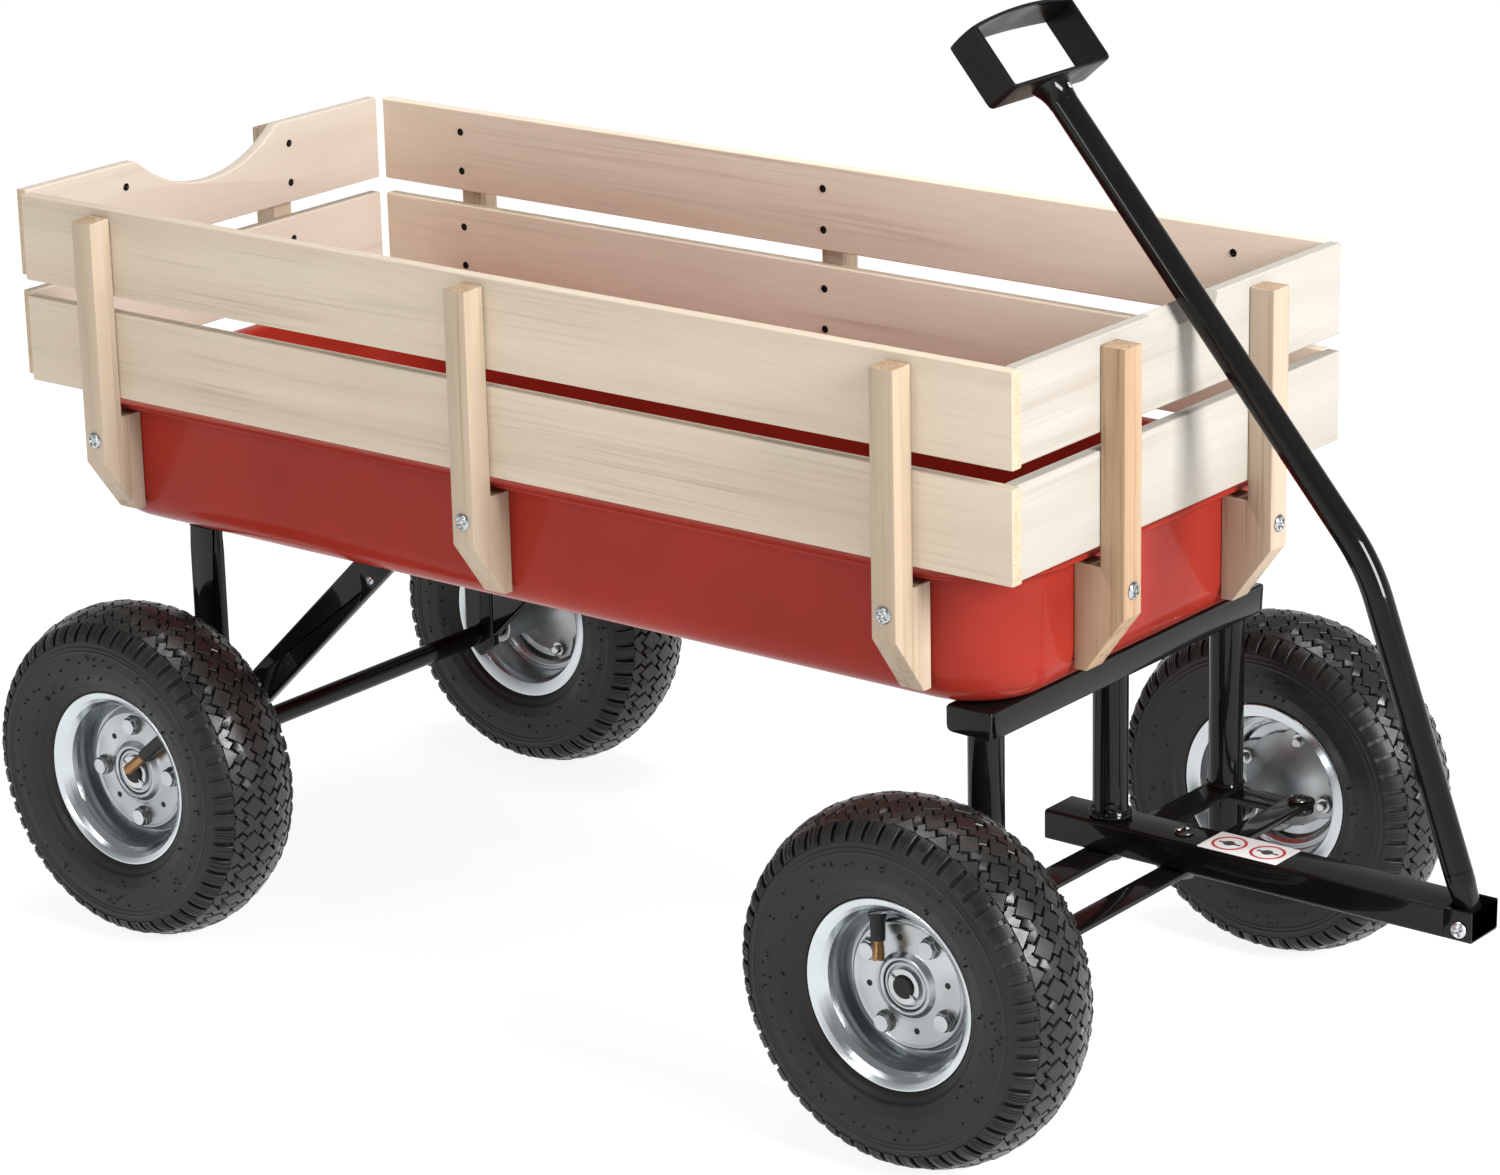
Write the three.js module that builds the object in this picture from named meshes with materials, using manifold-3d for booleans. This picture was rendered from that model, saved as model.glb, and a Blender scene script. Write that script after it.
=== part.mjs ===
// Four-wheel garden cart: a pressed-steel tray with slatted wooden sides, a steered front axle on two
// kingpins, a fixed rear axle and a cranked pull handle that parks on the front board.
// Millimetres, +X forward, +Y to the cart's left, +Z up, origin on the ground under the middle.
import * as THREE from 'three';
import { mergeVertices } from 'three/addons/utils/BufferGeometryUtils.js';
import Module from 'manifold-3d';

const wasm = await Module();
wasm.setup();

// ---------- driving dimensions ----------
const GAP = 0.3; // left between pieces that touch

const FRONT_AXLE_X = 291;
const REAR_AXLE_X = -430.5;
const AXLE_Z = 130;
const AXLE_RADIUS = 8;
const AXLE_END_Y = 247;

const TRAY_FRONT_X = 328.5;
const TRAY_REAR_X = -535.5;
const TRAY_HALF_WIDTH = 187;
const TRAY_BOTTOM_Z = 304;
const TRAY_RIM_Z = 402.5;
const TRAY_WALL = 2;
const TRAY_CORNER_RADIUS = 66;
const TRAY_FLOOR_RADIUS = 30;
const TRAY_RIM_REACH = 11;
const TRAY_RIM_THICKNESS = 3.5;

const SLAT_HEIGHT = 66;
const SLAT_THICKNESS = 10.2;
const LOWER_SLAT_Z = 409.75;
const UPPER_SLAT_Z = 488;
const SIDE_SLAT_OUTER_Y = 206.4;
const RIGHT_SLAT_FRONT_X = 353.5;
const LEFT_SLAT_FRONT_X = 338.8;
const SIDE_SLAT_REAR_X = -553.5;
const FRONT_SLAT_OUTER_X = 349.5;
const REAR_SLAT_OUTER_X = -569.5;
const END_SLAT_HALF_LENGTH = 195.5;
const FRONT_SLAT_LEFT_REACH = 202;
const SCOOP_HALF_CHORD = 78.5;
const SCOOP_DEPTH = 30;
const SADDLE_DEPTH = 13.2;
const SADDLE_HALF_WIDTH = 40.5;
const SADDLE_CORNER_RADIUS = 10;

const STAKE_WIDTH = 20;
const STAKE_PROUD = 20;
const STAKE_TOP_Z = 548;
const STAKE_LEDGE_Z = 395.5;
const STAKE_FOOT_Z = 320;
const STAKE_BEVEL_Z = 362;
const STAKE_BEVEL_DEPTH = 31;
const SIDE_STAKE_X = { rear: -469.5, middle: -103.5, front: 263.5 };
const END_STAKE_Y = 91;

const CROSSBEAM_WIDTH = 37;
const CROSSBEAM_HEIGHT = 20;
const CROSSBEAM_HALF_LENGTH = 170;
const CROSSBEAM_WALL = 3;

const KINGPIN_Y = 150;
const LEG_RADIUS = 12.7;
const LEG_BORE_RADIUS = 8.6;
const KINGPIN_RADIUS = 7.7;
const KINGPIN_TOP_Z = 210;
const CROSS_BAR_Z = { low: 149, high: 153 };
const CROSS_BAR_WIDTH = 24.5;
const CROSS_BAR_HALF_LENGTH = 163;
const KING_POST_BORE_RADIUS = 6.8;
const KING_COLLAR_RADIUS = 17;
const KING_BOLT_RADIUS = 6;

const TONGUE_REAR_X = 247.5;
const TONGUE_FRONT_X = 589.5;
const TONGUE_WIDTH = 36;
const TONGUE_Z = { low: 153.5, high: 175.5 };
const TONGUE_WALL = 2.5;
const TONGUE_MOUTH_X = 568.5;

const STEERING_ARM = 61.5; // kingpin to tie-rod bolt, and king bolt to tie bolt
const ARM_Z = { low: 144.5, high: 148.7 };
const ARM_HALF_WIDTH = 13.5;
const TIE_ROD_WIDTH = 21;
const TIE_BOLT_RADIUS = 5;
const TIE_END_HOLE_RADIUS = 6.2;

const HANDLE_PIVOT = { x: 580.5, z: 162.5 };
const HANDLE_TUBE_RADIUS = 10;
const HANDLE_TUBE_WALL = 2;
const HANDLE_LOWER_LENGTH = 248.6;
const HANDLE_UPPER_LENGTH = 388.9;
const HANDLE_LOWER_LEAN = THREE.MathUtils.degToRad(20);
const HANDLE_UPPER_LEAN = THREE.MathUtils.degToRad(40.7);
const HANDLE_BEND_RADIUS = 140;
const TANG_LENGTH = 26;
const TANG_TIP_RADIUS = 6;
const TANG_THICKNESS = 16;
const PIVOT_BOLT_RADIUS = 4;
const GRIP_HALF_WIDTH = 57;
const GRIP_HEIGHT = 51;
const GRIP_STRIP_WIDTH = 28;
const GRIP_PLATE = 2.5;
const GRIP_CROWN = 3.5;
const GRIP_CORNER_RADIUS = 6;

const REAR_STRAP_WIDTH = 37;
const REAR_STRAP_THICKNESS = 4;
const REAR_LEG_WIDTH = 30;
const REAR_LEG_THICKNESS = 9;
const REAR_LEG_OUTER_Y = 159;
const REAR_LEG_SHOULDER_Z = 122;
const REAR_LEG_TIP_Z = 110;
const BRACE_WIDTH = 27;
const BRACE_FOOT = { x: -430.5, z: 134 };
const BRACE_HEAD = { x: -258.5, z: 300 };

const WHEEL_Y = 233;
const TYRE_RADIUS = 130;
const WHEEL_FACETS = 28;
const BOLT_FACETS = 12;
const TUBE_FACETS = 16;

// ---------- finishes ----------
function finish(color, roughness, metalness) {
  return new THREE.MeshStandardMaterial({ color, roughness, metalness });
}

const WOOD = finish(0xdcc9ae, 0.7, 0);
const STAKE_WOOD = finish(0xd3b089, 0.7, 0);
const RED_PAINT = finish(0x9c2a28, 0.25, 0.1);
const BLACK_PAINT = finish(0x161616, 0.35, 0.2);
const ZINC = finish(0xb4b9be, 0.35, 0.9);
const RUBBER = finish(0x2c2a28, 0.85, 0);

// ---------- geometry helpers ----------
function toSolid(geometry) {
  const bare = geometry.clone();
  bare.deleteAttribute('normal');
  bare.deleteAttribute('uv');
  const merged = mergeVertices(bare, 1e-3);
  const vertProperties = new Float32Array(merged.attributes.position.array);
  const triVerts = new Uint32Array(merged.index.array);
  return new wasm.Manifold(new wasm.Mesh({ numProp: 3, vertProperties, triVerts }));
}

function toGeometry(solid) {
  const result = solid.getMesh();
  const geometry = new THREE.BufferGeometry();
  geometry.setAttribute('position', new THREE.BufferAttribute(result.vertProperties, 3));
  geometry.setIndex(new THREE.BufferAttribute(result.triVerts, 1));
  geometry.computeVertexNormals();
  return geometry;
}

function subtract(body, ...cutters) {
  let solid = toSolid(body);
  for (const cutter of cutters) {
    solid = solid.subtract(toSolid(cutter));
  }
  return toGeometry(solid);
}

function join(...bodies) {
  let solid = toSolid(bodies[0]);
  for (const body of bodies.slice(1)) {
    solid = solid.add(toSolid(body));
  }
  return toGeometry(solid);
}

function polygon(points) {
  return new THREE.Shape(points.map(([a, b]) => new THREE.Vector2(a, b)));
}

function roundedRectangle(a0, a1, b0, b1, radius) {
  const shape = new THREE.Shape();
  shape.absarc(a1 - radius, b0 + radius, radius, -Math.PI / 2, 0);
  shape.absarc(a1 - radius, b1 - radius, radius, 0, Math.PI / 2);
  shape.absarc(a0 + radius, b1 - radius, radius, Math.PI / 2, Math.PI);
  shape.absarc(a0 + radius, b0 + radius, radius, Math.PI, 1.5 * Math.PI);
  return shape;
}

function roundHole(a, b, radius) {
  return new THREE.Path().absarc(a, b, radius, 0, 2 * Math.PI, true);
}

function extrude(shape, depth, curveSegments) {
  return new THREE.ExtrudeGeometry(shape, { depth, curveSegments, bevelEnabled: false });
}

// Outline drawn in (x, y), raised from z0 to z1.
function extrudeUp(shape, z0, z1, curveSegments = 6) {
  return extrude(shape, z1 - z0, curveSegments).translate(0, 0, z0);
}

// Outline drawn in (x, z), carried from y0 to y1.
function extrudeAcross(shape, y0, y1, curveSegments = 6) {
  return extrude(shape, y1 - y0, curveSegments).rotateX(Math.PI / 2).translate(0, y1, 0);
}

// Outline drawn in (y, z), carried from x0 to x1.
function extrudeAlong(shape, x0, x1, curveSegments = 6) {
  const turn = new THREE.Matrix4().makeBasis(
    new THREE.Vector3(0, 1, 0),
    new THREE.Vector3(0, 0, 1),
    new THREE.Vector3(1, 0, 0),
  );
  return extrude(shape, x1 - x0, curveSegments).applyMatrix4(turn).translate(x0, 0, 0);
}

function box(x0, x1, y0, y1, z0, z1) {
  const geometry = new THREE.BoxGeometry(x1 - x0, y1 - y0, z1 - z0);
  return geometry.translate((x0 + x1) / 2, (y0 + y1) / 2, (z0 + z1) / 2);
}

// Profile of [radius, height] pairs, counter-clockwise with radius to the right, spun about Y.
function spinAcross(profile, facets) {
  const points = profile.map(([radius, height]) => new THREE.Vector2(radius, height));
  return new THREE.LatheGeometry(points, facets, Math.PI / facets);
}

function spinUp(profile, facets) {
  return spinAcross(profile, facets).rotateX(Math.PI / 2);
}

function rod(radius, length) {
  return [[0, 0], [radius, 0], [radius, length], [0, length]];
}

function ring(inner, outer, low, high) {
  return [[inner, low], [outer, low], [outer, high], [inner, high], [inner, low]];
}

function place(name, geometry, material, x = 0, y = 0, z = 0) {
  const mesh = new THREE.Mesh(geometry, material);
  mesh.name = name;
  mesh.position.set(x, y, z);
  return mesh;
}

// ---------- tray ----------
function trayBlock(inset) {
  const edge = TRAY_FLOOR_RADIUS - inset;
  const shape = roundedRectangle(
    TRAY_REAR_X + TRAY_FLOOR_RADIUS,
    TRAY_FRONT_X - TRAY_FLOOR_RADIUS,
    -TRAY_HALF_WIDTH + TRAY_FLOOR_RADIUS,
    TRAY_HALF_WIDTH - TRAY_FLOOR_RADIUS,
    TRAY_CORNER_RADIUS - TRAY_FLOOR_RADIUS,
  );
  const geometry = new THREE.ExtrudeGeometry(shape, {
    depth: TRAY_RIM_Z - TRAY_BOTTOM_Z,
    curveSegments: 4,
    bevelSize: edge,
    bevelThickness: edge,
    bevelSegments: 4,
  });
  return toSolid(geometry.translate(0, 0, TRAY_BOTTOM_Z + TRAY_FLOOR_RADIUS));
}

function tray() {
  const rim = roundedRectangle(
    TRAY_REAR_X - TRAY_RIM_REACH,
    TRAY_FRONT_X + TRAY_RIM_REACH,
    -TRAY_HALF_WIDTH - TRAY_RIM_REACH,
    TRAY_HALF_WIDTH + TRAY_RIM_REACH,
    TRAY_CORNER_RADIUS + TRAY_RIM_REACH,
  );
  const rimSolid = toSolid(extrudeUp(rim, TRAY_RIM_Z - TRAY_RIM_THICKNESS, TRAY_RIM_Z));
  const above = toSolid(box(-700, 700, -300, 300, TRAY_RIM_Z, 700));
  const shell = trayBlock(0).add(rimSolid).subtract(trayBlock(TRAY_WALL)).subtract(above);
  return toGeometry(shell);
}

// ---------- slatted sides ----------
function sideSlat(frontX) {
  return box(SIDE_SLAT_REAR_X, frontX, -SLAT_THICKNESS / 2, SLAT_THICKNESS / 2, 0, SLAT_HEIGHT);
}

function endSlat(leftReach) {
  const half = SLAT_THICKNESS / 2;
  return box(-half, half, -END_SLAT_HALF_LENGTH, leftReach, 0, SLAT_HEIGHT);
}

// Upper rear board with the wide scoop in its top edge.
function scoopedSlat() {
  const radius = (SCOOP_HALF_CHORD ** 2 + SCOOP_DEPTH ** 2) / (2 * SCOOP_DEPTH);
  const centre = SLAT_HEIGHT - SCOOP_DEPTH + radius;
  const swing = Math.asin(SCOOP_HALF_CHORD / radius);
  const shape = new THREE.Shape();
  shape.moveTo(-END_SLAT_HALF_LENGTH, 0);
  shape.lineTo(END_SLAT_HALF_LENGTH, 0);
  shape.lineTo(END_SLAT_HALF_LENGTH, SLAT_HEIGHT);
  shape.absarc(0, centre, radius, -Math.PI / 2 + swing, -Math.PI / 2 - swing, true);
  shape.lineTo(-END_SLAT_HALF_LENGTH, SLAT_HEIGHT);
  return extrudeAlong(shape, -SLAT_THICKNESS / 2, SLAT_THICKNESS / 2, 16);
}

// Upper front board: the saddle slopes with the parked handle and leaves it room to swing sideways.
function saddledSlat() {
  const trough = roundedRectangle(
    -SADDLE_HALF_WIDTH, SADDLE_HALF_WIDTH, 0, 3 * SLAT_THICKNESS, SADDLE_CORNER_RADIUS,
  );
  const cutter = extrudeAlong(trough, -2 * SLAT_HEIGHT, 2 * SLAT_HEIGHT, 4);
  cutter.rotateY(Math.PI / 2 - HANDLE_UPPER_LEAN);
  cutter.translate(SLAT_THICKNESS / 2, 0, SLAT_HEIGHT - SADDLE_DEPTH);
  return subtract(endSlat(FRONT_SLAT_LEFT_REACH), cutter);
}

// Stepped stake, +X outwards from the slat's outer face, standing on the tray wall below the rim.
function stake(wallDepth) {
  const foot = -wallDepth + GAP;
  const profile = polygon([
    [GAP, STAKE_TOP_Z],
    [GAP, STAKE_LEDGE_Z],
    [foot, STAKE_LEDGE_Z],
    [foot, STAKE_FOOT_Z],
    [STAKE_PROUD - STAKE_BEVEL_DEPTH, STAKE_FOOT_Z],
    [STAKE_PROUD, STAKE_BEVEL_Z],
    [STAKE_PROUD, STAKE_TOP_Z],
  ]);
  return extrudeAcross(profile, -STAKE_WIDTH / 2, STAKE_WIDTH / 2);
}

// The front boards lap over the left boards' ends, and butt against the right boards.
function slattedSides() {
  const group = new THREE.Group();
  const sideY = SIDE_SLAT_OUTER_Y - SLAT_THICKNESS / 2;
  const frontX = FRONT_SLAT_OUTER_X - SLAT_THICKNESS / 2;
  const rearX = REAR_SLAT_OUTER_X + SLAT_THICKNESS / 2;
  for (const [row, z] of [['lower', LOWER_SLAT_Z], ['upper', UPPER_SLAT_Z]]) {
    group.add(place(`left_slat_${row}`, sideSlat(LEFT_SLAT_FRONT_X), WOOD, 0, sideY, z));
    group.add(place(`right_slat_${row}`, sideSlat(RIGHT_SLAT_FRONT_X), WOOD, 0, -sideY, z));
  }
  group.add(place('front_slat_lower', endSlat(FRONT_SLAT_LEFT_REACH), WOOD, frontX, 0, LOWER_SLAT_Z));
  group.add(place('front_slat_upper', saddledSlat(), WOOD, frontX, 0, UPPER_SLAT_Z));
  group.add(place('rear_slat_lower', endSlat(END_SLAT_HALF_LENGTH), WOOD, rearX, 0, LOWER_SLAT_Z));
  group.add(place('rear_slat_upper', scoopedSlat(), WOOD, rearX, 0, UPPER_SLAT_Z));
  return group;
}

function stakes() {
  const group = new THREE.Group();
  const sideDepth = SIDE_SLAT_OUTER_Y - TRAY_HALF_WIDTH;
  for (const [station, x] of Object.entries(SIDE_STAKE_X)) {
    for (const [side, sign] of [['left', 1], ['right', -1]]) {
      const mesh = place(`${side}_stake_${station}`, stake(sideDepth), STAKE_WOOD);
      mesh.rotation.z = sign * Math.PI / 2;
      mesh.position.set(x, sign * SIDE_SLAT_OUTER_Y, 0);
      group.add(mesh);
    }
  }
  for (const [side, sign] of [['left', 1], ['right', -1]]) {
    const front = place(`front_stake_${side}`, stake(FRONT_SLAT_OUTER_X - TRAY_FRONT_X), STAKE_WOOD);
    front.position.set(FRONT_SLAT_OUTER_X, sign * END_STAKE_Y, 0);
    const rear = place(`rear_stake_${side}`, stake(TRAY_REAR_X - REAR_SLAT_OUTER_X), STAKE_WOOD);
    rear.rotation.z = Math.PI;
    rear.position.set(REAR_SLAT_OUTER_X, sign * END_STAKE_Y, 0);
    group.add(front, rear);
  }
  return group;
}

// ---------- frame under the tray ----------
// Pressed crossbeam: a pan open at the bottom, lying across the cart.
function crossbeam() {
  const half = CROSSBEAM_WIDTH / 2;
  const halfLength = CROSSBEAM_HALF_LENGTH;
  const wall = CROSSBEAM_WALL;
  const outer = box(-half, half, -halfLength, halfLength, -CROSSBEAM_HEIGHT, 0);
  const hollow = box(
    -half + wall, half - wall, -halfLength + wall, halfLength - wall, -2 * CROSSBEAM_HEIGHT, -wall,
  );
  return subtract(outer, hollow);
}

function legTube(bore, low, high) {
  return spinUp(ring(bore, LEG_RADIUS, low, high), TUBE_FACETS);
}

function kingPost(low, high) {
  const collarTop = low + 6;
  const profile = [
    [KING_POST_BORE_RADIUS, low],
    [KING_COLLAR_RADIUS, low],
    [KING_COLLAR_RADIUS, collarTop],
    [LEG_RADIUS, collarTop + 3],
    [LEG_RADIUS, high],
    [KING_POST_BORE_RADIUS, high],
    [KING_POST_BORE_RADIUS, low],
  ];
  return spinUp(profile, TUBE_FACETS);
}

function lowerCrossBar() {
  const half = CROSS_BAR_WIDTH / 2;
  const end = CROSS_BAR_HALF_LENGTH;
  const shape = roundedRectangle(-half, half, -end, end, half - 0.1);
  shape.holes.push(roundHole(0, 0, KING_BOLT_RADIUS + 0.5));
  shape.holes.push(roundHole(0, KINGPIN_Y, KINGPIN_RADIUS + 0.7));
  shape.holes.push(roundHole(0, -KINGPIN_Y, KINGPIN_RADIUS + 0.7));
  return extrudeUp(shape, CROSS_BAR_Z.low, CROSS_BAR_Z.high, 8);
}

function boltProfile(radius, headRadius, headHeight, gripLength, nutRadius, nutHeight) {
  const headLow = nutHeight + gripLength;
  return [
    [0, 0],
    [nutRadius, 0],
    [nutRadius, nutHeight],
    [radius, nutHeight],
    [radius, headLow],
    [headRadius, headLow],
    [headRadius, headLow + headHeight],
    [0, headLow + headHeight],
  ];
}

function kingBolt() {
  const headHeight = 5;
  const low = CROSS_BAR_Z.low - GAP - headHeight;
  const profile = [
    [0, low],
    [10, low],
    [10, low + headHeight],
    [KING_BOLT_RADIUS, low + headHeight],
    [KING_BOLT_RADIUS, 205],
    [0, 205],
  ];
  return spinUp(profile, BOLT_FACETS);
}

function frontFrame() {
  const group = new THREE.Group();
  const beamTop = TRAY_BOTTOM_Z - GAP;
  const tubeTop = beamTop - CROSSBEAM_WALL - GAP;
  const legLow = CROSS_BAR_Z.high + GAP;
  const beam = crossbeam();
  group.add(place('front_crossbeam', beam, BLACK_PAINT, FRONT_AXLE_X, 0, beamTop));
  for (const [side, sign] of [['left', 1], ['right', -1]]) {
    const leg = legTube(LEG_BORE_RADIUS, legLow, tubeTop);
    group.add(place(`front_leg_${side}`, leg, BLACK_PAINT, FRONT_AXLE_X, sign * KINGPIN_Y, 0));
  }
  const post = kingPost(TONGUE_Z.high + 0.7, tubeTop);
  group.add(place('king_post', post, BLACK_PAINT, FRONT_AXLE_X, 0, 0));
  group.add(place('lower_cross_bar', lowerCrossBar(), BLACK_PAINT, FRONT_AXLE_X, 0, 0));
  group.add(place('king_bolt', kingBolt(), ZINC, FRONT_AXLE_X, 0, 0));
  return group;
}

function rearLeg() {
  const half = REAR_LEG_WIDTH / 2;
  const shape = polygon([
    [-half, REAR_LEG_SHOULDER_Z],
    [0, REAR_LEG_TIP_Z],
    [half, REAR_LEG_SHOULDER_Z],
    [half, TRAY_BOTTOM_Z - GAP],
    [-half, TRAY_BOTTOM_Z - GAP],
  ]);
  shape.holes.push(roundHole(0, AXLE_Z, AXLE_RADIUS + 0.6));
  return extrudeAcross(shape, -REAR_LEG_THICKNESS / 2, REAR_LEG_THICKNESS / 2, 8);
}

// Diagonal from the leg's front edge up and forward to the tray's underside.
function rearBrace() {
  const run = new THREE.Vector2(BRACE_HEAD.x - BRACE_FOOT.x, BRACE_HEAD.z - BRACE_FOOT.z).normalize();
  const legEdge = REAR_AXLE_X + REAR_LEG_WIDTH / 2 + GAP;
  const top = TRAY_BOTTOM_Z - GAP;
  const edgePoint = (side, axis, value) => {
    const x = BRACE_FOOT.x - side * run.y * BRACE_WIDTH / 2;
    const z = BRACE_FOOT.z + side * run.x * BRACE_WIDTH / 2;
    const along = axis === 'x' ? (value - x) / run.x : (value - z) / run.y;
    return [x + along * run.x, z + along * run.y];
  };
  const shape = polygon([
    edgePoint(-1, 'x', legEdge),
    edgePoint(-1, 'z', top),
    edgePoint(1, 'z', top),
    edgePoint(1, 'x', legEdge),
  ]);
  return extrudeAcross(shape, -REAR_LEG_THICKNESS / 2, REAR_LEG_THICKNESS / 2);
}

function rearFrame() {
  const group = new THREE.Group();
  const legY = REAR_LEG_OUTER_Y - REAR_LEG_THICKNESS / 2;
  const half = REAR_LEG_OUTER_Y - REAR_LEG_THICKNESS - GAP;
  const strap = box(-REAR_STRAP_WIDTH / 2, REAR_STRAP_WIDTH / 2, -half, half, -REAR_STRAP_THICKNESS, 0);
  group.add(place('rear_crossbeam', strap, BLACK_PAINT, REAR_AXLE_X, 0, TRAY_BOTTOM_Z - GAP));
  for (const [side, sign] of [['left', 1], ['right', -1]]) {
    group.add(place(`rear_leg_${side}`, rearLeg(), BLACK_PAINT, REAR_AXLE_X, sign * legY, 0));
    group.add(place(`rear_brace_${side}`, rearBrace(), BLACK_PAINT, 0, sign * legY, 0));
  }
  const axle = spinAcross(rod(AXLE_RADIUS, 2 * AXLE_END_Y), TUBE_FACETS);
  group.add(place('rear_axle', axle, BLACK_PAINT, REAR_AXLE_X, -AXLE_END_Y, AXLE_Z));
  return group;
}

// ---------- steering ----------
function tongue() {
  const half = TONGUE_WIDTH / 2;
  const wall = TONGUE_WALL;
  const outline = roundedRectangle(-half, half, TONGUE_Z.low, TONGUE_Z.high, 2);
  outline.holes.push(polygon([
    [-half + wall, TONGUE_Z.low + wall],
    [-half + wall, TONGUE_Z.high - wall],
    [half - wall, TONGUE_Z.high - wall],
    [half - wall, TONGUE_Z.low + wall],
  ]));
  const tube = extrudeAlong(outline, TONGUE_REAR_X, TONGUE_FRONT_X, 3);
  const mouth = box(
    TONGUE_MOUTH_X, TONGUE_FRONT_X + 1, -half + wall, half - wall, TONGUE_Z.low + 2 * wall, TONGUE_Z.high + 1,
  );
  const height = TONGUE_Z.high - TONGUE_Z.low + 2;
  const kingHole = spinUp(rod(KING_BOLT_RADIUS + 0.5, height), TUBE_FACETS);
  kingHole.translate(FRONT_AXLE_X, 0, TONGUE_Z.low - 1);
  const tieHole = spinUp(rod(TIE_BOLT_RADIUS + 0.5, height), TUBE_FACETS);
  tieHole.translate(FRONT_AXLE_X + STEERING_ARM, 0, TONGUE_Z.low - 1);
  const pivotHole = spinAcross(rod(PIVOT_BOLT_RADIUS + 0.4, TONGUE_WIDTH + 2), TUBE_FACETS);
  pivotHole.translate(HANDLE_PIVOT.x, -half - 1, HANDLE_PIVOT.z);
  return subtract(tube, mouth, kingHole, tieHole, pivotHole);
}

function tieBolt() {
  const nutHeight = 6;
  const low = CROSS_BAR_Z.low - GAP - nutHeight;
  const headLow = TONGUE_Z.high + GAP;
  const profile = boltProfile(TIE_BOLT_RADIUS, 9, 4, headLow - low - nutHeight, 8.5, nutHeight);
  return spinUp(profile, BOLT_FACETS).translate(0, 0, low);
}

function tieRod() {
  const half = TIE_ROD_WIDTH / 2;
  const shape = roundedRectangle(-half, half, -KINGPIN_Y - half - 2, KINGPIN_Y + half + 2, half - 0.1);
  shape.holes.push(roundHole(0, 0, TIE_BOLT_RADIUS + 0.5));
  shape.holes.push(roundHole(0, KINGPIN_Y, TIE_END_HOLE_RADIUS));
  shape.holes.push(roundHole(0, -KINGPIN_Y, TIE_END_HOLE_RADIUS));
  return extrudeUp(shape, CROSS_BAR_Z.low, CROSS_BAR_Z.high, 8);
}

function tieEndBolt() {
  const nutHeight = 5;
  const low = ARM_Z.low - GAP - nutHeight;
  const grip = CROSS_BAR_Z.high + GAP - ARM_Z.low + GAP;
  return spinUp(boltProfile(TIE_BOLT_RADIUS, 8, 4.5, grip, 8, nutHeight), BOLT_FACETS).translate(0, 0, low);
}

// Kingpin, steering arm and stub axle in one forging, drawn about the kingpin; sign is +1 on the left.
function knuckle(sign) {
  const boss = spinUp([
    [0, AXLE_Z - 13],
    [13, AXLE_Z - 13],
    [13, ARM_Z.high],
    [KINGPIN_RADIUS, ARM_Z.high],
    [KINGPIN_RADIUS, KINGPIN_TOP_Z],
    [0, KINGPIN_TOP_Z],
  ], TUBE_FACETS);
  const arm = new THREE.Shape();
  arm.absarc(0, 0, ARM_HALF_WIDTH, Math.PI / 2, 1.5 * Math.PI);
  arm.absarc(STEERING_ARM, 0, ARM_HALF_WIDTH - 2, -Math.PI / 2, Math.PI / 2);
  arm.holes.push(roundHole(STEERING_ARM, 0, TIE_BOLT_RADIUS + 0.4));
  const stubLength = AXLE_END_Y - KINGPIN_Y;
  const stub = spinAcross(rod(AXLE_RADIUS, stubLength), TUBE_FACETS);
  stub.translate(0, sign > 0 ? 0 : -stubLength, AXLE_Z);
  return join(boss, extrudeUp(arm, ARM_Z.low, ARM_Z.high), stub);
}

function steering() {
  const group = new THREE.Group();
  const tieX = FRONT_AXLE_X + STEERING_ARM;
  group.add(place('tongue', tongue(), BLACK_PAINT));
  group.add(place('tie_bolt', tieBolt(), ZINC, tieX, 0, 0));
  group.add(place('tie_rod', tieRod(), BLACK_PAINT, tieX, 0, 0));
  for (const [side, sign] of [['left', 1], ['right', -1]]) {
    const y = sign * KINGPIN_Y;
    group.add(place(`steering_knuckle_${side}`, knuckle(sign), BLACK_PAINT, FRONT_AXLE_X, y, 0));
    group.add(place(`tie_rod_bolt_${side}`, tieEndBolt(), ZINC, tieX, y, 0));
  }
  return group;
}

// ---------- handle ----------
function leanVector(lean) {
  return new THREE.Vector3(-Math.sin(lean), 0, Math.cos(lean));
}

function handlePoints() {
  const pivot = new THREE.Vector3(HANDLE_PIVOT.x, 0, HANDLE_PIVOT.z);
  const corner = pivot.clone().addScaledVector(leanVector(HANDLE_LOWER_LEAN), HANDLE_LOWER_LENGTH);
  const top = corner.clone().addScaledVector(leanVector(HANDLE_UPPER_LEAN), HANDLE_UPPER_LENGTH);
  return { pivot, corner, top };
}

// Straight, bent and straight again: the bend is a quadratic curve between its two tangent points.
function handlePath() {
  const { pivot, corner, top } = handlePoints();
  const tangent = HANDLE_BEND_RADIUS * Math.tan((HANDLE_UPPER_LEAN - HANDLE_LOWER_LEAN) / 2);
  const start = pivot.clone().addScaledVector(leanVector(HANDLE_LOWER_LEAN), TANG_LENGTH - 2);
  const bendStart = corner.clone().addScaledVector(leanVector(HANDLE_LOWER_LEAN), -tangent);
  const bendEnd = corner.clone().addScaledVector(leanVector(HANDLE_UPPER_LEAN), tangent);
  const path = new THREE.CurvePath();
  path.add(new THREE.LineCurve3(start, bendStart));
  path.add(new THREE.QuadraticBezierCurve3(bendStart, corner, bendEnd));
  path.add(new THREE.LineCurve3(bendEnd, top.clone().addScaledVector(leanVector(HANDLE_UPPER_LEAN), -GAP)));
  return path;
}

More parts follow.
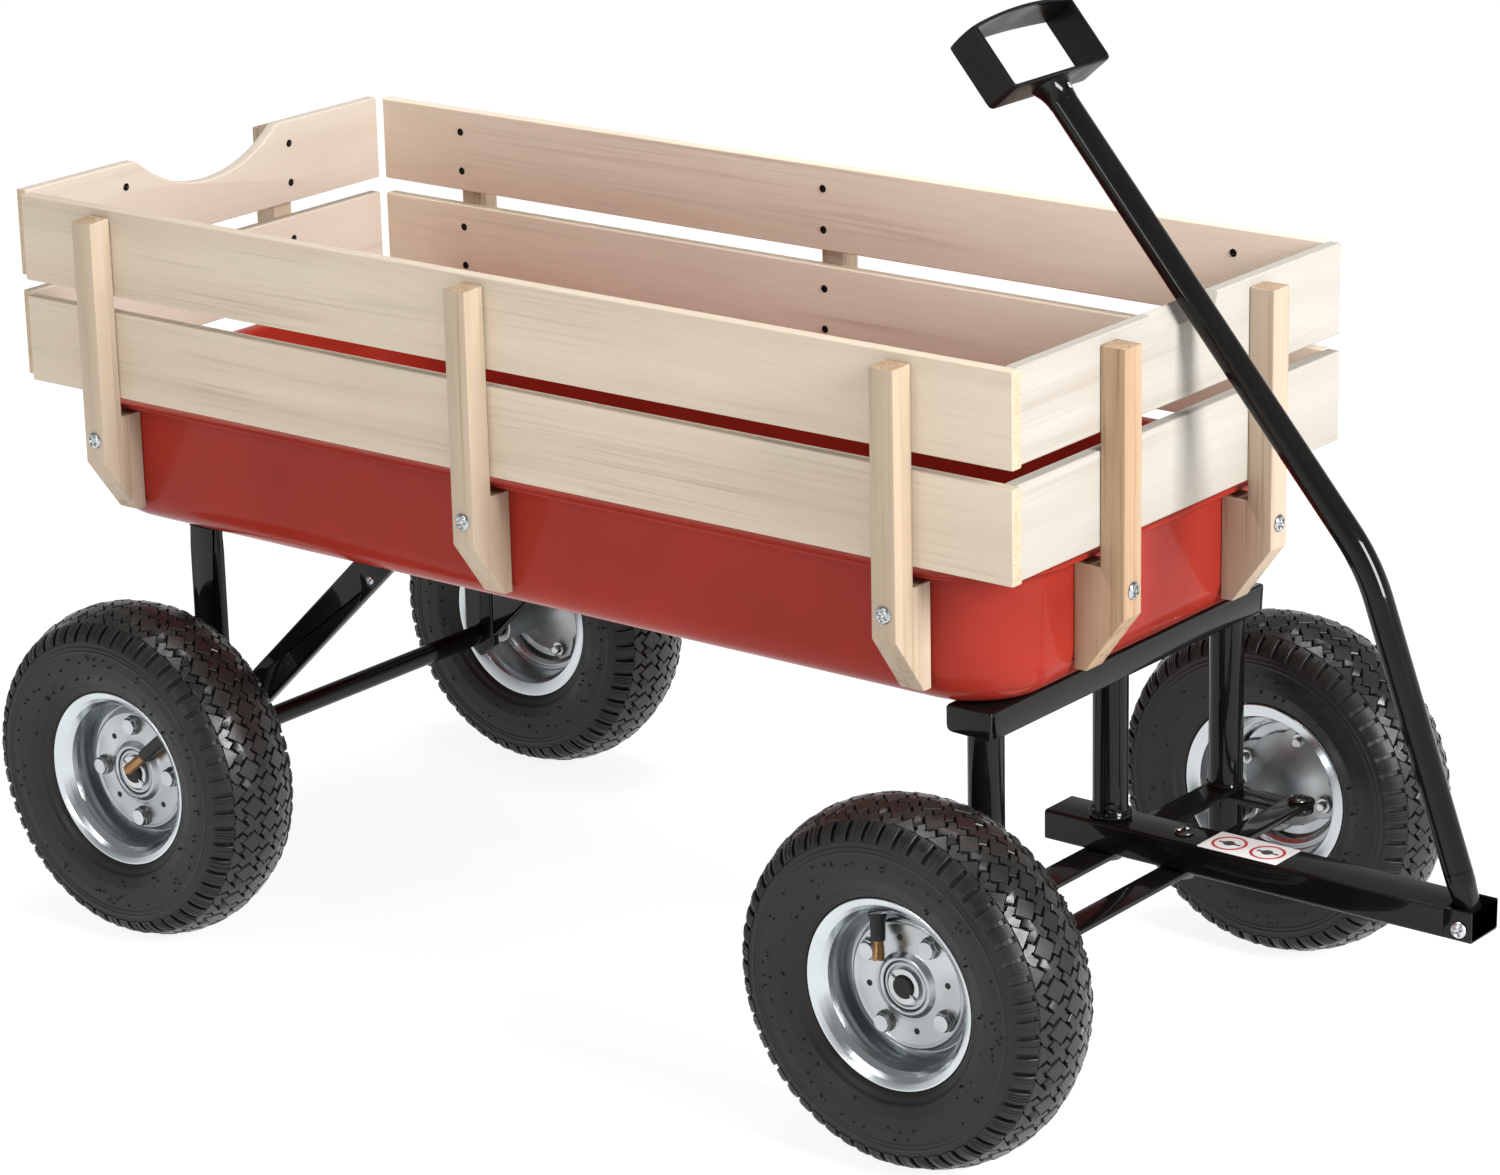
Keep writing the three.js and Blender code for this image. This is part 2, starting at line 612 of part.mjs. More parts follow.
// Flattened foot of the tube: narrow round the pivot, then as deep as the tube.
function handleTang() {
  const root = HANDLE_TUBE_RADIUS - HANDLE_TUBE_WALL / 2;
  const shape = new THREE.Shape();
  shape.absarc(0, 0, TANG_TIP_RADIUS, Math.PI, 2 * Math.PI);
  shape.lineTo(TANG_TIP_RADIUS, TANG_LENGTH / 2);
  shape.lineTo(root, TANG_LENGTH);
  shape.lineTo(root, TANG_LENGTH + 8);
  shape.lineTo(-root, TANG_LENGTH + 8);
  shape.lineTo(-root, TANG_LENGTH);
  shape.lineTo(-TANG_TIP_RADIUS, TANG_LENGTH / 2);
  shape.holes.push(roundHole(0, 0, PIVOT_BOLT_RADIUS + 0.4));
  const half = TANG_THICKNESS / 2;
  const geometry = extrudeAcross(shape, -half, half, 8).rotateY(-HANDLE_LOWER_LEAN);
  return geometry.translate(HANDLE_PIVOT.x, 0, HANDLE_PIVOT.z);
}

function handleTube() {
  const section = new THREE.Shape().absarc(0, 0, HANDLE_TUBE_RADIUS, 0, 2 * Math.PI);
  section.holes.push(roundHole(0, 0, HANDLE_TUBE_RADIUS - HANDLE_TUBE_WALL));
  const tube = new THREE.ExtrudeGeometry(section, {
    steps: 20,
    curveSegments: 7,
    extrudePath: handlePath(),
  });
  return join(tube, handleTang());
}

// Closed strap loop, drawn in (y, height) with its top bar crowned.
function grip() {
  const half = GRIP_HALF_WIDTH;
  const radius = GRIP_CORNER_RADIUS;
  const crown = (half ** 2 + GRIP_CROWN ** 2) / (2 * GRIP_CROWN);
  const loop = (inset, path) => {
    const a = half - inset;
    const r = radius - inset;
    const sweep = Math.asin((a - r) / (crown - inset));
    const side = GRIP_HEIGHT + GRIP_CROWN - crown + (crown - inset) * Math.cos(sweep) - r;
    path.absarc(a - r, inset + r, r, -Math.PI / 2, 0);
    path.absarc(a - r, side, r, 0, Math.PI / 2 - sweep);
    path.absarc(0, GRIP_HEIGHT + GRIP_CROWN - crown, crown - inset, Math.PI / 2 - sweep, Math.PI / 2 + sweep);
    path.absarc(-a + r, side, r, Math.PI / 2 + sweep, Math.PI);
    path.absarc(-a + r, inset + r, r, Math.PI, 1.5 * Math.PI);
    return path;
  };
  const shape = loop(0, new THREE.Shape());
  shape.holes.push(loop(GRIP_PLATE, new THREE.Path()));
  return extrudeAlong(shape, -GRIP_STRIP_WIDTH / 2, GRIP_STRIP_WIDTH / 2, 5);
}

function pivotBolt() {
  const half = TONGUE_WIDTH / 2 + GAP;
  const headHeight = 4;
  const profile = boltProfile(PIVOT_BOLT_RADIUS, 7, headHeight, 2 * half, 6.5, 5);
  return spinAcross(profile, BOLT_FACETS).rotateZ(Math.PI).translate(0, half + 5, 0);
}

function handle() {
  const group = new THREE.Group();
  const { top } = handlePoints();
  group.add(place('handle_tube', handleTube(), BLACK_PAINT));
  const gripMesh = place('handle_grip', grip(), BLACK_PAINT, top.x, top.y, top.z);
  gripMesh.rotation.y = -HANDLE_UPPER_LEAN;
  group.add(gripMesh);
  group.add(place('handle_pivot_bolt', pivotBolt(), ZINC, HANDLE_PIVOT.x, 0, HANDLE_PIVOT.z));
  return group;
}

// ---------- wheels ----------
// Profiles are [radius, offset], offset outwards from the wheel's middle plane.
function tyre() {
  const flat = 1 / Math.cos(Math.PI / WHEEL_FACETS); // facets, not corners, stand on the ground
  const outer = TYRE_RADIUS * flat;
  const profile = [
    [69, -30],
    [86, -40.5],
    [101, -41.5],
    [115, -39],
    [outer - 8, -31],
    [outer, -15],
    [outer, 15],
    [outer - 8, 31],
    [115, 39],
    [101, 41.5],
    [86, 40.5],
    [69, 30],
    [69, 24],
    [100, 33],
    [118, 0],
    [100, -33],
    [69, -24],
    [69, -30],
  ];
  return spinAcross(profile, WHEEL_FACETS);
}

function rim() {
  const profile = [
    [61, -30],
    [68, -31.5],
    [63, -27.5],
    [56, -12],
    [56, 12],
    [63, 27.5],
    [68, 31.5],
    [61, 30],
    [54, 13],
    [44, 7],
    [18, 7],
    [18, 4.7],
    [45, 4.7],
    [54, 8],
    [54, -12],
    [61, -30],
  ];
  return spinAcross(profile, WHEEL_FACETS);
}

function hub() {
  const bore = AXLE_RADIUS + 0.6;
  const profile = [
    [bore, -60],
    [13, -60],
    [13, -10],
    [22, -2],
    [43, 1.5],
    [43, 4.3],
    [17.5, 4.3],
    [17.5, 8],
    [15, 11],
    [bore, 11],
    [bore, -60],
  ];
  return spinAcross(profile, TUBE_FACETS);
}

// Rubber stem standing inwards from the rim towards the hub, on the wheel's outer side.
function valveStem() {
  const stem = spinUp([[0, 0], [2.4, 0], [2.6, 8], [4, 10], [4, 19.5], [0, 19.5]], 8);
  return stem.translate(0, 0, 35);
}

function wheel(station, side, x, valveAngle) {
  const sign = side === 'left' ? 1 : -1;
  const group = new THREE.Group();
  const name = (piece) => `${station}_${side}_${piece}`;
  group.position.set(x, sign * WHEEL_Y, AXLE_Z);
  group.rotation.z = side === 'left' ? 0 : Math.PI;
  group.add(place(name('tyre'), tyre(), RUBBER));
  group.add(place(name('rim'), rim(), ZINC));
  group.add(place(name('hub'), hub(), ZINC));
  const valve = place(name('valve_stem'), valveStem(), RUBBER, 0, 21, 0);
  valve.rotation.y = valveAngle;
  group.add(valve);
  return group;
}

const VALVE_TILT = THREE.MathUtils.degToRad(30);

const cart = new THREE.Group();
cart.name = 'garden_cart';
cart.add(place('tray', tray(), RED_PAINT));
cart.add(slattedSides());
cart.add(stakes());
cart.add(frontFrame());
cart.add(rearFrame());
cart.add(steering());
cart.add(handle());
for (const side of ['left', 'right']) {
  cart.add(wheel('front', side, FRONT_AXLE_X, VALVE_TILT));
  cart.add(wheel('rear', side, REAR_AXLE_X, -VALVE_TILT));
}

export default cart;
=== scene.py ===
"""Garden cart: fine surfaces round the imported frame. Metres, +X forward, +Y left, +Z up."""

import random
from math import asin, copysign, cos, degrees, hypot, pi, radians, sin, sqrt, tan

import bmesh
import bpy
from mathutils import Matrix, Vector


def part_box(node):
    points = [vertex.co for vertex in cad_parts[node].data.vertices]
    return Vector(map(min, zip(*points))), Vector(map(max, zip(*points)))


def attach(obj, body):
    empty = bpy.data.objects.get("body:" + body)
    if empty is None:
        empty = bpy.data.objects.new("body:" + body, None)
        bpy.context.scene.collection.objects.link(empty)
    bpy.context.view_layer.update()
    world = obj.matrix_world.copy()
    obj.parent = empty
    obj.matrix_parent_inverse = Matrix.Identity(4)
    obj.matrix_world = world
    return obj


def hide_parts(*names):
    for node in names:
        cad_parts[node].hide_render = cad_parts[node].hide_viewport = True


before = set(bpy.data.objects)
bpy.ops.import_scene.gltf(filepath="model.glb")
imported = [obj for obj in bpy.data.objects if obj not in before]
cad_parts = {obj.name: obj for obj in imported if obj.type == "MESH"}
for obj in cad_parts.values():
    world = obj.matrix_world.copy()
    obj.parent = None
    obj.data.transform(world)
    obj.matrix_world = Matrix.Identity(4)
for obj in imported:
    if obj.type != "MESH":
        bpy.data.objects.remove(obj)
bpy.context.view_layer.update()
MM = 0.001
SIDES = (("left", 1), ("right", -1))
ACROSS = Vector((0, 1, 0))
UP = Vector((0, 0, 1))


# ---------- camera ----------
CAMERA_PLACE = Vector((2.00592, -2.56395, 1.35037))
CAMERA_RIGHT = Vector((0.787704, 0.615683, -0.021374))
CAMERA_UP = Vector((-0.174734, 0.256556, 0.950604))
CAMERA_LENS = 112.455
SENSOR_WIDTH = 36.0


def add_camera():
    right = CAMERA_RIGHT.normalized()
    back = right.cross(CAMERA_UP).normalized()
    up = back.cross(right)
    data = bpy.data.cameras.new("camera")
    data.lens = CAMERA_LENS
    data.sensor_width = SENSOR_WIDTH
    camera = bpy.data.objects.new("camera", data)
    turn = Matrix((right, up, back)).transposed().to_4x4()
    camera.matrix_world = Matrix.Translation(CAMERA_PLACE) @ turn
    bpy.context.scene.collection.objects.link(camera)
    bpy.context.scene.camera = camera


# ---------- materials ----------
WOOD_ROUGHNESS = 0.55
DUST = (0.2, 0.19, 0.18)


def add_node(tree, kind, inputs=None, **settings):
    """New node; an input is a value or another node's output to link."""
    node = tree.nodes.new("ShaderNode" + kind)
    for key, value in settings.items():
        setattr(node, key, value)
    for key, value in (inputs or {}).items():
        if isinstance(value, bpy.types.NodeSocket):
            tree.links.new(value, node.inputs[key])
        else:
            node.inputs[key].default_value = value
    return node


class Shader:
    """One material's node tree, with short calls to add and join nodes."""

    def __init__(self, name, color, roughness, metallic=0.0, **sockets):
        self.material = bpy.data.materials.new(name)
        self.material.use_nodes = True
        self.tree = self.material.node_tree
        self.bsdf = self.tree.nodes["Principled BSDF"]
        self.bsdf.inputs["Base Color"].default_value = (*color, 1)
        self.bsdf.inputs["Roughness"].default_value = roughness
        self.bsdf.inputs["Metallic"].default_value = metallic
        for socket, value in sockets.items():
            self.bsdf.inputs[socket.replace("_", " ")].default_value = value

    def add(self, kind, inputs=None, **settings):
        return add_node(self.tree, kind, inputs, **settings)

    def object_coords(self):
        return self.add("TexCoord").outputs["Object"]

    def noise(self, vector, scale, detail=3.0, roughness=0.55, distortion=0.0):
        inputs = {"Vector": vector, "Scale": scale, "Detail": detail}
        inputs |= {"Roughness": roughness, "Distortion": distortion}
        return self.add("TexNoise", inputs).outputs["Fac"]

    def grain_noise(self, grain, along, across, offset=(0, 0, 0), *settings):
        """Noise drawn out along the first axis: along and across are its scales per metre."""
        inputs = {"Vector": grain, "Scale": (along, across, across), "Location": offset}
        return self.noise(self.add("Mapping", inputs).outputs["Vector"], 1.0, *settings)

    def spread(self, factor, low, high, start=0.0, end=1.0):
        """The factor's range from start to end, spread over low to high."""
        inputs = {"Value": factor, "From Min": start, "From Max": end}
        inputs |= {"To Min": low, "To Max": high}
        return self.add("MapRange", inputs).outputs["Result"]

    def mix(self, factor, first, second):
        """Colour mix; sockets 6 and 7 take the colours and output 2 gives the result."""
        inputs = {0: factor}
        for index, color in ((6, first), (7, second)):
            inputs[index] = color if isinstance(color, bpy.types.NodeSocket) else (*color, 1)
        return self.add("Mix", inputs, data_type="RGBA").outputs[2]

    def combine(self, operation, first, second):
        return self.add("Math", {0: first, 1: second}, operation=operation).outputs[0]

    def bump(self, height, strength, distance, normal=None):
        inputs = {"Height": height, "Strength": strength, "Distance": distance}
        if normal is not None:
            inputs["Normal"] = normal
        return self.add("Bump", inputs).outputs["Normal"]

    def finish(self, color, roughness, normal=None):
        for socket, output in (("Base Color", color), ("Roughness", roughness), ("Normal", normal)):
            if output is not None:
                self.tree.links.new(output, self.bsdf.inputs[socket])
        return self.material


def scaled(color, share):
    return tuple(channel * share for channel in color)


def wood(name, pale, dark, streak, figure, seed=0.0, cover=0.47):
    """Sawn softwood: fine fibres along the board, slow bands, and dark streaks in patches."""
    shader = Shader(name, pale, WOOD_ROUGHNESS, Specular_IOR_Level=0.3)
    grain = shader.add("Attribute", attribute_name="grain").outputs["Vector"]
    drift = shader.grain_noise(grain, 1.6, 22.0, (seed, 0, 0), 3.0, 0.5, 0.6)
    band = shader.grain_noise(grain, 2.0, 130.0, (0, seed, 0), 5.0, 0.62, 1.2)
    patch = shader.grain_noise(grain, 3.4, 16.0, (seed, seed, 0), 2.0)
    fibre = shader.grain_noise(grain, 16.0, 1000.0, (0, 0, 0), 3.0, 0.7)
    cloud = shader.grain_noise(grain, 9.0, 30.0)
    color = shader.mix(shader.spread(drift, 0.0, 0.8, 0.34, 0.68), pale, dark)
    color = shader.mix(shader.spread(cloud, 0.0, 0.35, 0.45, 0.75), color, dark)
    spots = shader.spread(patch, 0.0, 1.0, cover, cover + 0.23)
    lines = shader.spread(band, 0.0, figure, 0.5, 0.74)
    color = shader.mix(shader.combine("MULTIPLY", spots, lines), color, streak)
    color = shader.mix(shader.spread(fibre, 0.0, 0.13, 0.45, 0.75), color, streak)
    gloss = shader.spread(fibre, WOOD_ROUGHNESS - 0.06, WOOD_ROUGHNESS + 0.14)
    height = shader.combine("ADD", fibre, band)
    return shader.finish(color, gloss, shader.bump(height, 0.18, 0.0003))


def end_grain(name, pale, dark):
    """Sawn ends: darker, with fine pores."""
    shader = Shader(name, pale, 0.75, Specular_IOR_Level=0.2)
    pores = shader.noise(shader.object_coords(), 620.0, 4.0, 0.7)
    stain = shader.noise(shader.object_coords(), 90.0)
    color = shader.mix(shader.spread(pores, 0.0, 1.0, 0.42, 0.66), pale, dark)
    color = shader.mix(shader.spread(stain, 0.0, 0.5, 0.4, 0.7), color, dark)
    return shader.finish(color, shader.spread(pores, 0.68, 0.85), shader.bump(pores, 0.3, 0.0003))


def paint(name, color, roughness, ripple, specular, coat, dust_amount):
    """Gloss paint over sheet metal: long ripples in the gloss, fine orange peel and faint dust."""
    sockets = {"Specular_IOR_Level": specular, "Coat_Weight": coat, "Coat_Roughness": 0.035}
    shader = Shader(name, color, roughness, **sockets)
    coords = shader.object_coords()
    slow = shader.noise(coords, 9.0, 2.0)
    peel = shader.noise(coords, 420.0, 2.0)
    patch = shader.noise(coords, 28.0, 5.0, 0.65)
    shade = shader.mix(shader.spread(slow, 0.0, 1.0, 0.35, 0.7), color, scaled(color, 0.8))
    dusted = shader.mix(shader.spread(patch, 0.0, dust_amount, 0.5, 0.75), shade, DUST)
    gloss = shader.spread(patch, roughness * 0.8, roughness * 1.35, 0.3, 0.7)
    peeled = shader.bump(peel, 0.05, 0.0002)
    return shader.finish(dusted, gloss, shader.bump(slow, ripple, 0.002, peeled))


def zinc(name, color, roughness, cloud=0.2):
    """Bright plated steel with soft clouding and fine drawing marks."""
    shader = Shader(name, color, roughness, 1.0)
    coords = shader.object_coords()
    blotch = shader.noise(coords, 24.0, 2.0, 0.5, 0.2)
    fine = shader.noise(coords, 900.0, 2.0)
    dull = scaled(color, 1 - cloud)
    clouded = shader.mix(shader.spread(blotch, 0.0, 1.0, 0.35, 0.7), color, dull)
    gloss = shader.spread(blotch, roughness * 0.85, roughness * 1.2, 0.3, 0.7)
    return shader.finish(clouded, gloss, shader.bump(fine, 0.04, 0.0001))


def rubber(name, color, roughness, grey, specular):
    """Moulded rubber with a dusty bloom."""
    shader = Shader(name, color, roughness, Specular_IOR_Level=specular)
    coords = shader.object_coords()
    bloom = shader.noise(coords, 30.0, 5.0, 0.65)
    pores = shader.noise(coords, 700.0)
    dusted = shader.mix(shader.spread(bloom, 0.0, 0.7, 0.4, 0.75), color, grey)
    gloss = shader.spread(bloom, roughness - 0.08, roughness + 0.1, 0.35, 0.7)
    return shader.finish(dusted, gloss, shader.bump(pores, 0.12, 0.0003))


def plain(name, color, roughness):
    """Even finish with fine flecks."""
    shader = Shader(name, color, roughness)
    fleck = shader.noise(shader.object_coords(), 260.0, 4.0)
    flecked = shader.mix(fleck, color, scaled(color, 0.92))
    return shader.finish(flecked, shader.spread(fleck, roughness * 0.85, roughness * 1.2))


# Each side's boards get their own base colour, set to how bright that side looks under the lamps:
# painted light and shade. The far boards are painted lighter and the front boards darker and greyer
# than the same wood would be.
PAINTED_LIGHT_SLAT_WOODS = {
    "right": wood(
        "wood_near_boards_painted_light", (0.66, 0.565, 0.45), (0.57, 0.475, 0.365), (0.28, 0.21, 0.145), 0.75
    ),
    "left": wood(
        "wood_far_boards_painted_light", (0.88, 0.77, 0.63), (0.78, 0.645, 0.505), (0.4, 0.28, 0.2), 0.6, 3.1
    ),
    "rear": wood(
        "wood_rear_boards_painted_light", (0.62, 0.55, 0.465), (0.55, 0.465, 0.38), (0.42, 0.31, 0.23), 0.5, 5.7
    ),
    "front": wood(
        "wood_front_boards_painted_light", (0.475, 0.452, 0.41), (0.41, 0.375, 0.325), (0.28, 0.22, 0.165),
        0.55, 8.3,
    ),
}
STAKE_WOOD = wood(
    "wood_stakes", (0.53, 0.43, 0.325), (0.44, 0.335, 0.235), (0.22, 0.14, 0.08), 1.0, 1.9, 0.36
)
TAN_STAKE_WOOD = wood(
    "wood_tan_stake", (0.52, 0.37, 0.245), (0.4, 0.26, 0.155), (0.14, 0.065, 0.025), 1.0, 4.4, 0.18
)
# board ends are darker for real end grain, and also as painted shade for the dark gap where the
# side boards meet the front boards
BOARD_END = end_grain("board_ends", (0.6, 0.49, 0.36), (0.42, 0.31, 0.2))
STAKE_END = end_grain("stake_ends", (0.5, 0.37, 0.25), (0.26, 0.16, 0.09))
RED = paint("red_enamel", (0.32, 0.028, 0.0175), 0.2, 0.3, 0.05, 0.14, 0.01)
BLACK = paint("black_enamel", (0.0062, 0.0056, 0.005), 0.14, 0.08, 0.04, 0.42, 0.01)
GRIP_BLACK = paint("black_grip_enamel", (0.006, 0.0055, 0.005), 0.34, 0.08, 0.15, 0.05, 0.012)
ZINC = zinc("zinc_bright", (0.72, 0.73, 0.75), 0.25)
RIM_ZINC = zinc("zinc_rim", (0.62, 0.665, 0.685), 0.2, 0.1)
# darker, more clouded zinc for the rim's well and disc: painted shade in the well
WELL_SHADE_ZINC = zinc("zinc_well_painted_shade", (0.5, 0.53, 0.545), 0.24, 0.3)
HUB_ZINC = zinc("zinc_hub", (0.5, 0.52, 0.53), 0.42, 0.3)
BOLT_ZINC = zinc("zinc_bolts", (0.55, 0.57, 0.58), 0.2)
DARK_STEEL = zinc("dark_screws", (0.13, 0.125, 0.12), 0.3)
BLACK_SCREW = zinc("board_screw_steel", (0.02, 0.018, 0.017), 0.3)
BRASS = zinc("valve_brass", (0.36, 0.2, 0.09), 0.35)
TYRE = rubber("tyre_rubber", (0.0105, 0.0098, 0.0088), 0.42, (0.0185, 0.0165, 0.0145), 0.3)
TREAD = rubber("tread_rubber", (0.012, 0.0112, 0.01), 0.33, (0.02, 0.018, 0.016), 0.45)
STEM_RUBBER = rubber("valve_rubber", (0.008, 0.008, 0.008), 0.4, (0.014, 0.014, 0.014), 0.3)
# near-black: painted shade for the wheel discs' holes, and the real black of the axle ends
HOLE_SHADE_AND_BLACK = plain("hole_shade_and_axle_black", (0.006, 0.006, 0.006), 0.7)
LABEL_WHITE = plain("label_white", (0.85, 0.85, 0.84), 0.35)
LABEL_RED = plain("label_red", (0.5, 0.03, 0.03), 0.35)
LABEL_GREY = plain("label_grey", (0.05, 0.05, 0.05), 0.4)


# ---------- mesh helpers ----------
class Solid:
    """Vertices and faces gathered from several parts, in millimetres."""

    def __init__(self):
        self.verts, self.faces, self.slots = [], [], []

    def add(self, part, matrix=None, slot=0):
        verts, faces = part
        base = len(self.verts)
        self.verts += [matrix @ Vector(vert) if matrix else Vector(vert) for vert in verts]
        self.faces += [[base + index for index in face] for face in faces]
        self.slots += [slot] * len(faces)
        return self

    def mesh(self, name, materials, angle, grain=None, end_axis=None):
        """Mesh with edges sharp above angle; end_axis puts the second material on sawn ends."""
        build = bmesh.new()
        verts = [build.verts.new(vert * MM) for vert in self.verts]
        for face, slot in zip(self.faces, self.slots):
            build.faces.new([verts[index] for index in face]).material_index = slot
        bmesh.ops.recalc_face_normals(build, faces=build.faces)
        if end_axis is not None:
            for face in build.faces:
                face.normal_update()
                face.material_index = 1 if abs(face.normal[end_axis]) > 0.9 else 0
        mesh = bpy.data.meshes.new(name)
        build.to_mesh(mesh)
        build.free()
        for material in materials:
            mesh.materials.append(material)
        mesh.shade_smooth()
        mesh.set_sharp_from_angle(angle=radians(angle))
        if grain:
            layer = mesh.attributes.new("grain", "FLOAT_VECTOR", "POINT")
            for index, vert in enumerate(self.verts):
                layer.data[index].vector = grain(vert * MM)
        return mesh

    def show(self, name, materials, angle, body, slot, *replaces):
        show(self.mesh(name, materials, angle), body, replaces)


def show(mesh, body, replaces=(), matrix=None, name=None):
    piece = bpy.data.objects.new(name or mesh.name, mesh)
    bpy.context.scene.collection.objects.link(piece)
    if matrix:
        piece.matrix_world = matrix
    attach(piece, body)
    if replaces:
        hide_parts(*replaces)


def show_black(solid, node, ending, angle=35, body="chassis"):
    solid.show(f"{node}_{ending}", [BLACK], angle, body, "black_paint", node)


def box_mm(node):
    low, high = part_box(node)
    return low / MM, high / MM


def centre_mm(node):
    low, high = box_mm(node)
    return (low + high) / 2


def at(x, y, z):
    return Matrix.Translation((x, y, z))


def facing(place, direction):
    """Matrix that stands a part drawn up +Z at a place, pointing along a direction."""
    turn = Vector(direction).to_track_quat("Z", "Y").to_matrix().to_4x4()
    return Matrix.Translation(Vector(place)) @ turn


def rectangle(a0, b0, a1, b1):
    return [(a0, b0), (a1, b0), (a1, b1), (a0, b1)]


def curve_point(start, corner, end, share):
    """Point on the curve that leaves start and reaches end, drawn towards the corner."""
    rest = 1 - share
    return start * rest**2 + corner * 2 * share * rest + end * share * share


def fillet(points, radius, steps=4, closed=False):
    """Rounds the corners of a polyline; radius is one number or one for each point."""
    result = []
    count = len(points)
    for index, corner in enumerate(points):
        reach = radius[index] if isinstance(radius, (list, tuple)) else radius
        if reach <= 0 or (not closed and index in (0, count - 1)):
            result.append(tuple(corner))
            continue
        here = Vector(corner)
        before = Vector(points[index - 1]) - here
        after = Vector(points[(index + 1) % count]) - here
        half = before.angle(after) / 2
        tangent = min(reach / tan(half), 0.48 * before.length, 0.48 * after.length)
        start = here + before.normalized() * tangent
        end = here + after.normalized() * tangent
        result += [tuple(curve_point(start, here, end, s / steps)) for s in range(steps + 1)]
    return result


def arc(centre, radius, start, end, steps):
    """Points on an arc; angles in degrees."""
    angles = [radians(start + (end - start) * step / steps) for step in range(steps + 1)]
    return [(centre[0] + radius * cos(a), centre[1] + radius * sin(a)) for a in angles]


def full_turn(count):
    return [2 * pi * step / count for step in range(count)]


def polar(radius, angle):
    return radius * cos(angle), radius * sin(angle)


def circle(radius, count):
    return [polar(radius, angle) for angle in full_turn(count)]


def loft(rings, caps=True, looped=False):
    """Skin over rings of equal size, with end caps, or looped back to its first ring."""
    size, count = len(rings[0]), len(rings)
    verts = [vert for ring in rings for vert in ring]
    faces = []
    for row in range(count if looped else count - 1):
        low, high = row * size, (row + 1) % count * size
        for index in range(size):
            right = (index + 1) % size
            faces.append([low + index, low + right, high + right, high + index])
    if caps and not looped:
        faces.append(list(range(size))[::-1])
        faces.append([(count - 1) * size + index for index in range(size)])
    return verts, faces


AXES = {
    "x": lambda a, b, d: (d, a, b),
    "y": lambda a, b, d: (a, d, b),
    "z": lambda a, b, d: (a, b, d),
}


def spin(profile, segments, axis="y", closed=False):
    """Turned shape from (radius, height) points; an end at radius 0 closes on the axis."""
    place = AXES[axis]
    rows = []
    for radius, height in profile:
        turn = full_turn(segments) if radius > 0 else [0]
        rows.append([place(*polar(radius, a), height) for a in turn])
    verts = [vert for row in rows for vert in row]
    starts = [sum(len(row) for row in rows[:index]) for index in range(len(rows))]
    faces = []
    for first in range(len(rows) if closed else len(rows) - 1):
        second = (first + 1) % len(rows)
        a, b = starts[first], starts[second]
        for index in range(segments):
            right = (index + 1) % segments
            if len(rows[first]) == 1:
                faces.append([a, b + right, b + index])
            elif len(rows[second]) == 1:
                faces.append([a + index, a + right, b])
            else:
                faces.append([a + index, a + right, b + right, b + index])
    return verts, faces


def inset(outline, distance):
    """The closed outline moved inwards by distance; the outline runs anticlockwise."""
    result = []
    points = [Vector(point) for point in outline]
    for index, here in enumerate(points):
        first = (here - points[index - 1]).normalized()
        second = (points[(index + 1) % len(points)] - here).normalized()
        n1, n2 = Vector((-first.y, first.x)), Vector((-second.y, second.x))
        shift = (n1 + n2) / max(0.35, 1 + n1.dot(n2))
        result.append(tuple(here + shift * distance))
    return result


def plate(outline, low, high, axis, edge=1.0, steps=3):
    """Outline carried from low to high along an axis, with rounded rims."""
    if sum(a[0] * b[1] - b[0] * a[1] for a, b in zip(outline, outline[1:] + outline[:1])) < 0:
        outline = outline[::-1]
    place = AXES[axis]
    rings = []
    for end, sign in ((low, 1), (high, -1)):
        part = []
        for step in range(steps + 1):
            angle = pi / 2 * step / steps
            shape = inset(outline, edge * (1 - sin(angle)))
            depth = end + sign * edge * (1 - cos(angle))
            part.append([place(a, b, depth) for a, b in shape])
        rings += part if sign > 0 else part[::-1]
    return loft(rings)


def block(low, high, edge, corner):
    """Box with rounded rims and upright corners."""
    outline = fillet(rectangle(low[0], low[1], high[0], high[1]), corner, 3, True)
    return plate(outline, low[2], high[2], "z", edge)


def sweep(path, section, side):
    """Section of (across, up) points carried along a path; side is the fixed across direction."""
    rings = []
    for index, place in enumerate(path):
        ahead = Vector(path[min(index + 1, len(path) - 1)])
        behind = Vector(path[max(index - 1, 0)])
        up = (ahead - behind).normalized().cross(side).normalized()
        shape = section(index / (len(path) - 1)) if callable(section) else section
        rings.append([Vector(place) + side * a + up * b for a, b in shape])
    return loft(rings)


def hex_head(radius, height):
    """Hexagon with a domed chamfer, drawn up +Z."""
    rings = []
    for scale, level in ((1.0, 0), (1.0, height - 1.5), (0.8, height - 0.2), (0.62, height)):
        ring = []
        for angle in full_turn(24):
            sector = (angle % (pi / 3)) - pi / 6
            flat = radius * cos(pi / 6) / cos(sector)
            reach = flat if scale == 1.0 else min(flat, radius * 0.88) * scale / 0.8 * 0.94
            ring.append((*polar(reach, angle), level))
        rings.append(ring)
    return loft(rings)


SLOT_REACH = 0.66
SLOT_EDGE = 0.09


def cross_head(radius, height, turn, slot_width=0.25, cells=26):
    """Pan head with a cross recess, drawn up +Z; slot sizes are shares of the radius."""
    verts = []
    for row in range(cells + 1):
        for column in range(cells + 1):
            u = 2 * column / cells - 1
            v = 2 * row / cells - 1
            x = u * sqrt(1 - v * v / 2)
            y = v * sqrt(1 - u * u / 2)
            level = height * sqrt(max(0.0, 1 - (hypot(x, y) * 0.98) ** 2.6))
            a = abs(x * cos(turn) + y * sin(turn))
            b = abs(-x * sin(turn) + y * cos(turn))
            along = max(a, b)
            if along < SLOT_REACH:
                cut = max(0.0, min(1.0, (slot_width - min(a, b)) / SLOT_EDGE))
                level -= cut * height * 0.95 * (1 - 0.5 * along / SLOT_REACH)
            verts.append((x * radius, y * radius, level))
    faces = []
    for row in range(cells):
        for column in range(cells):
            first = row * (cells + 1) + column
            faces.append([first, first + 1, first + cells + 2, first + cells + 1])
    return verts, faces


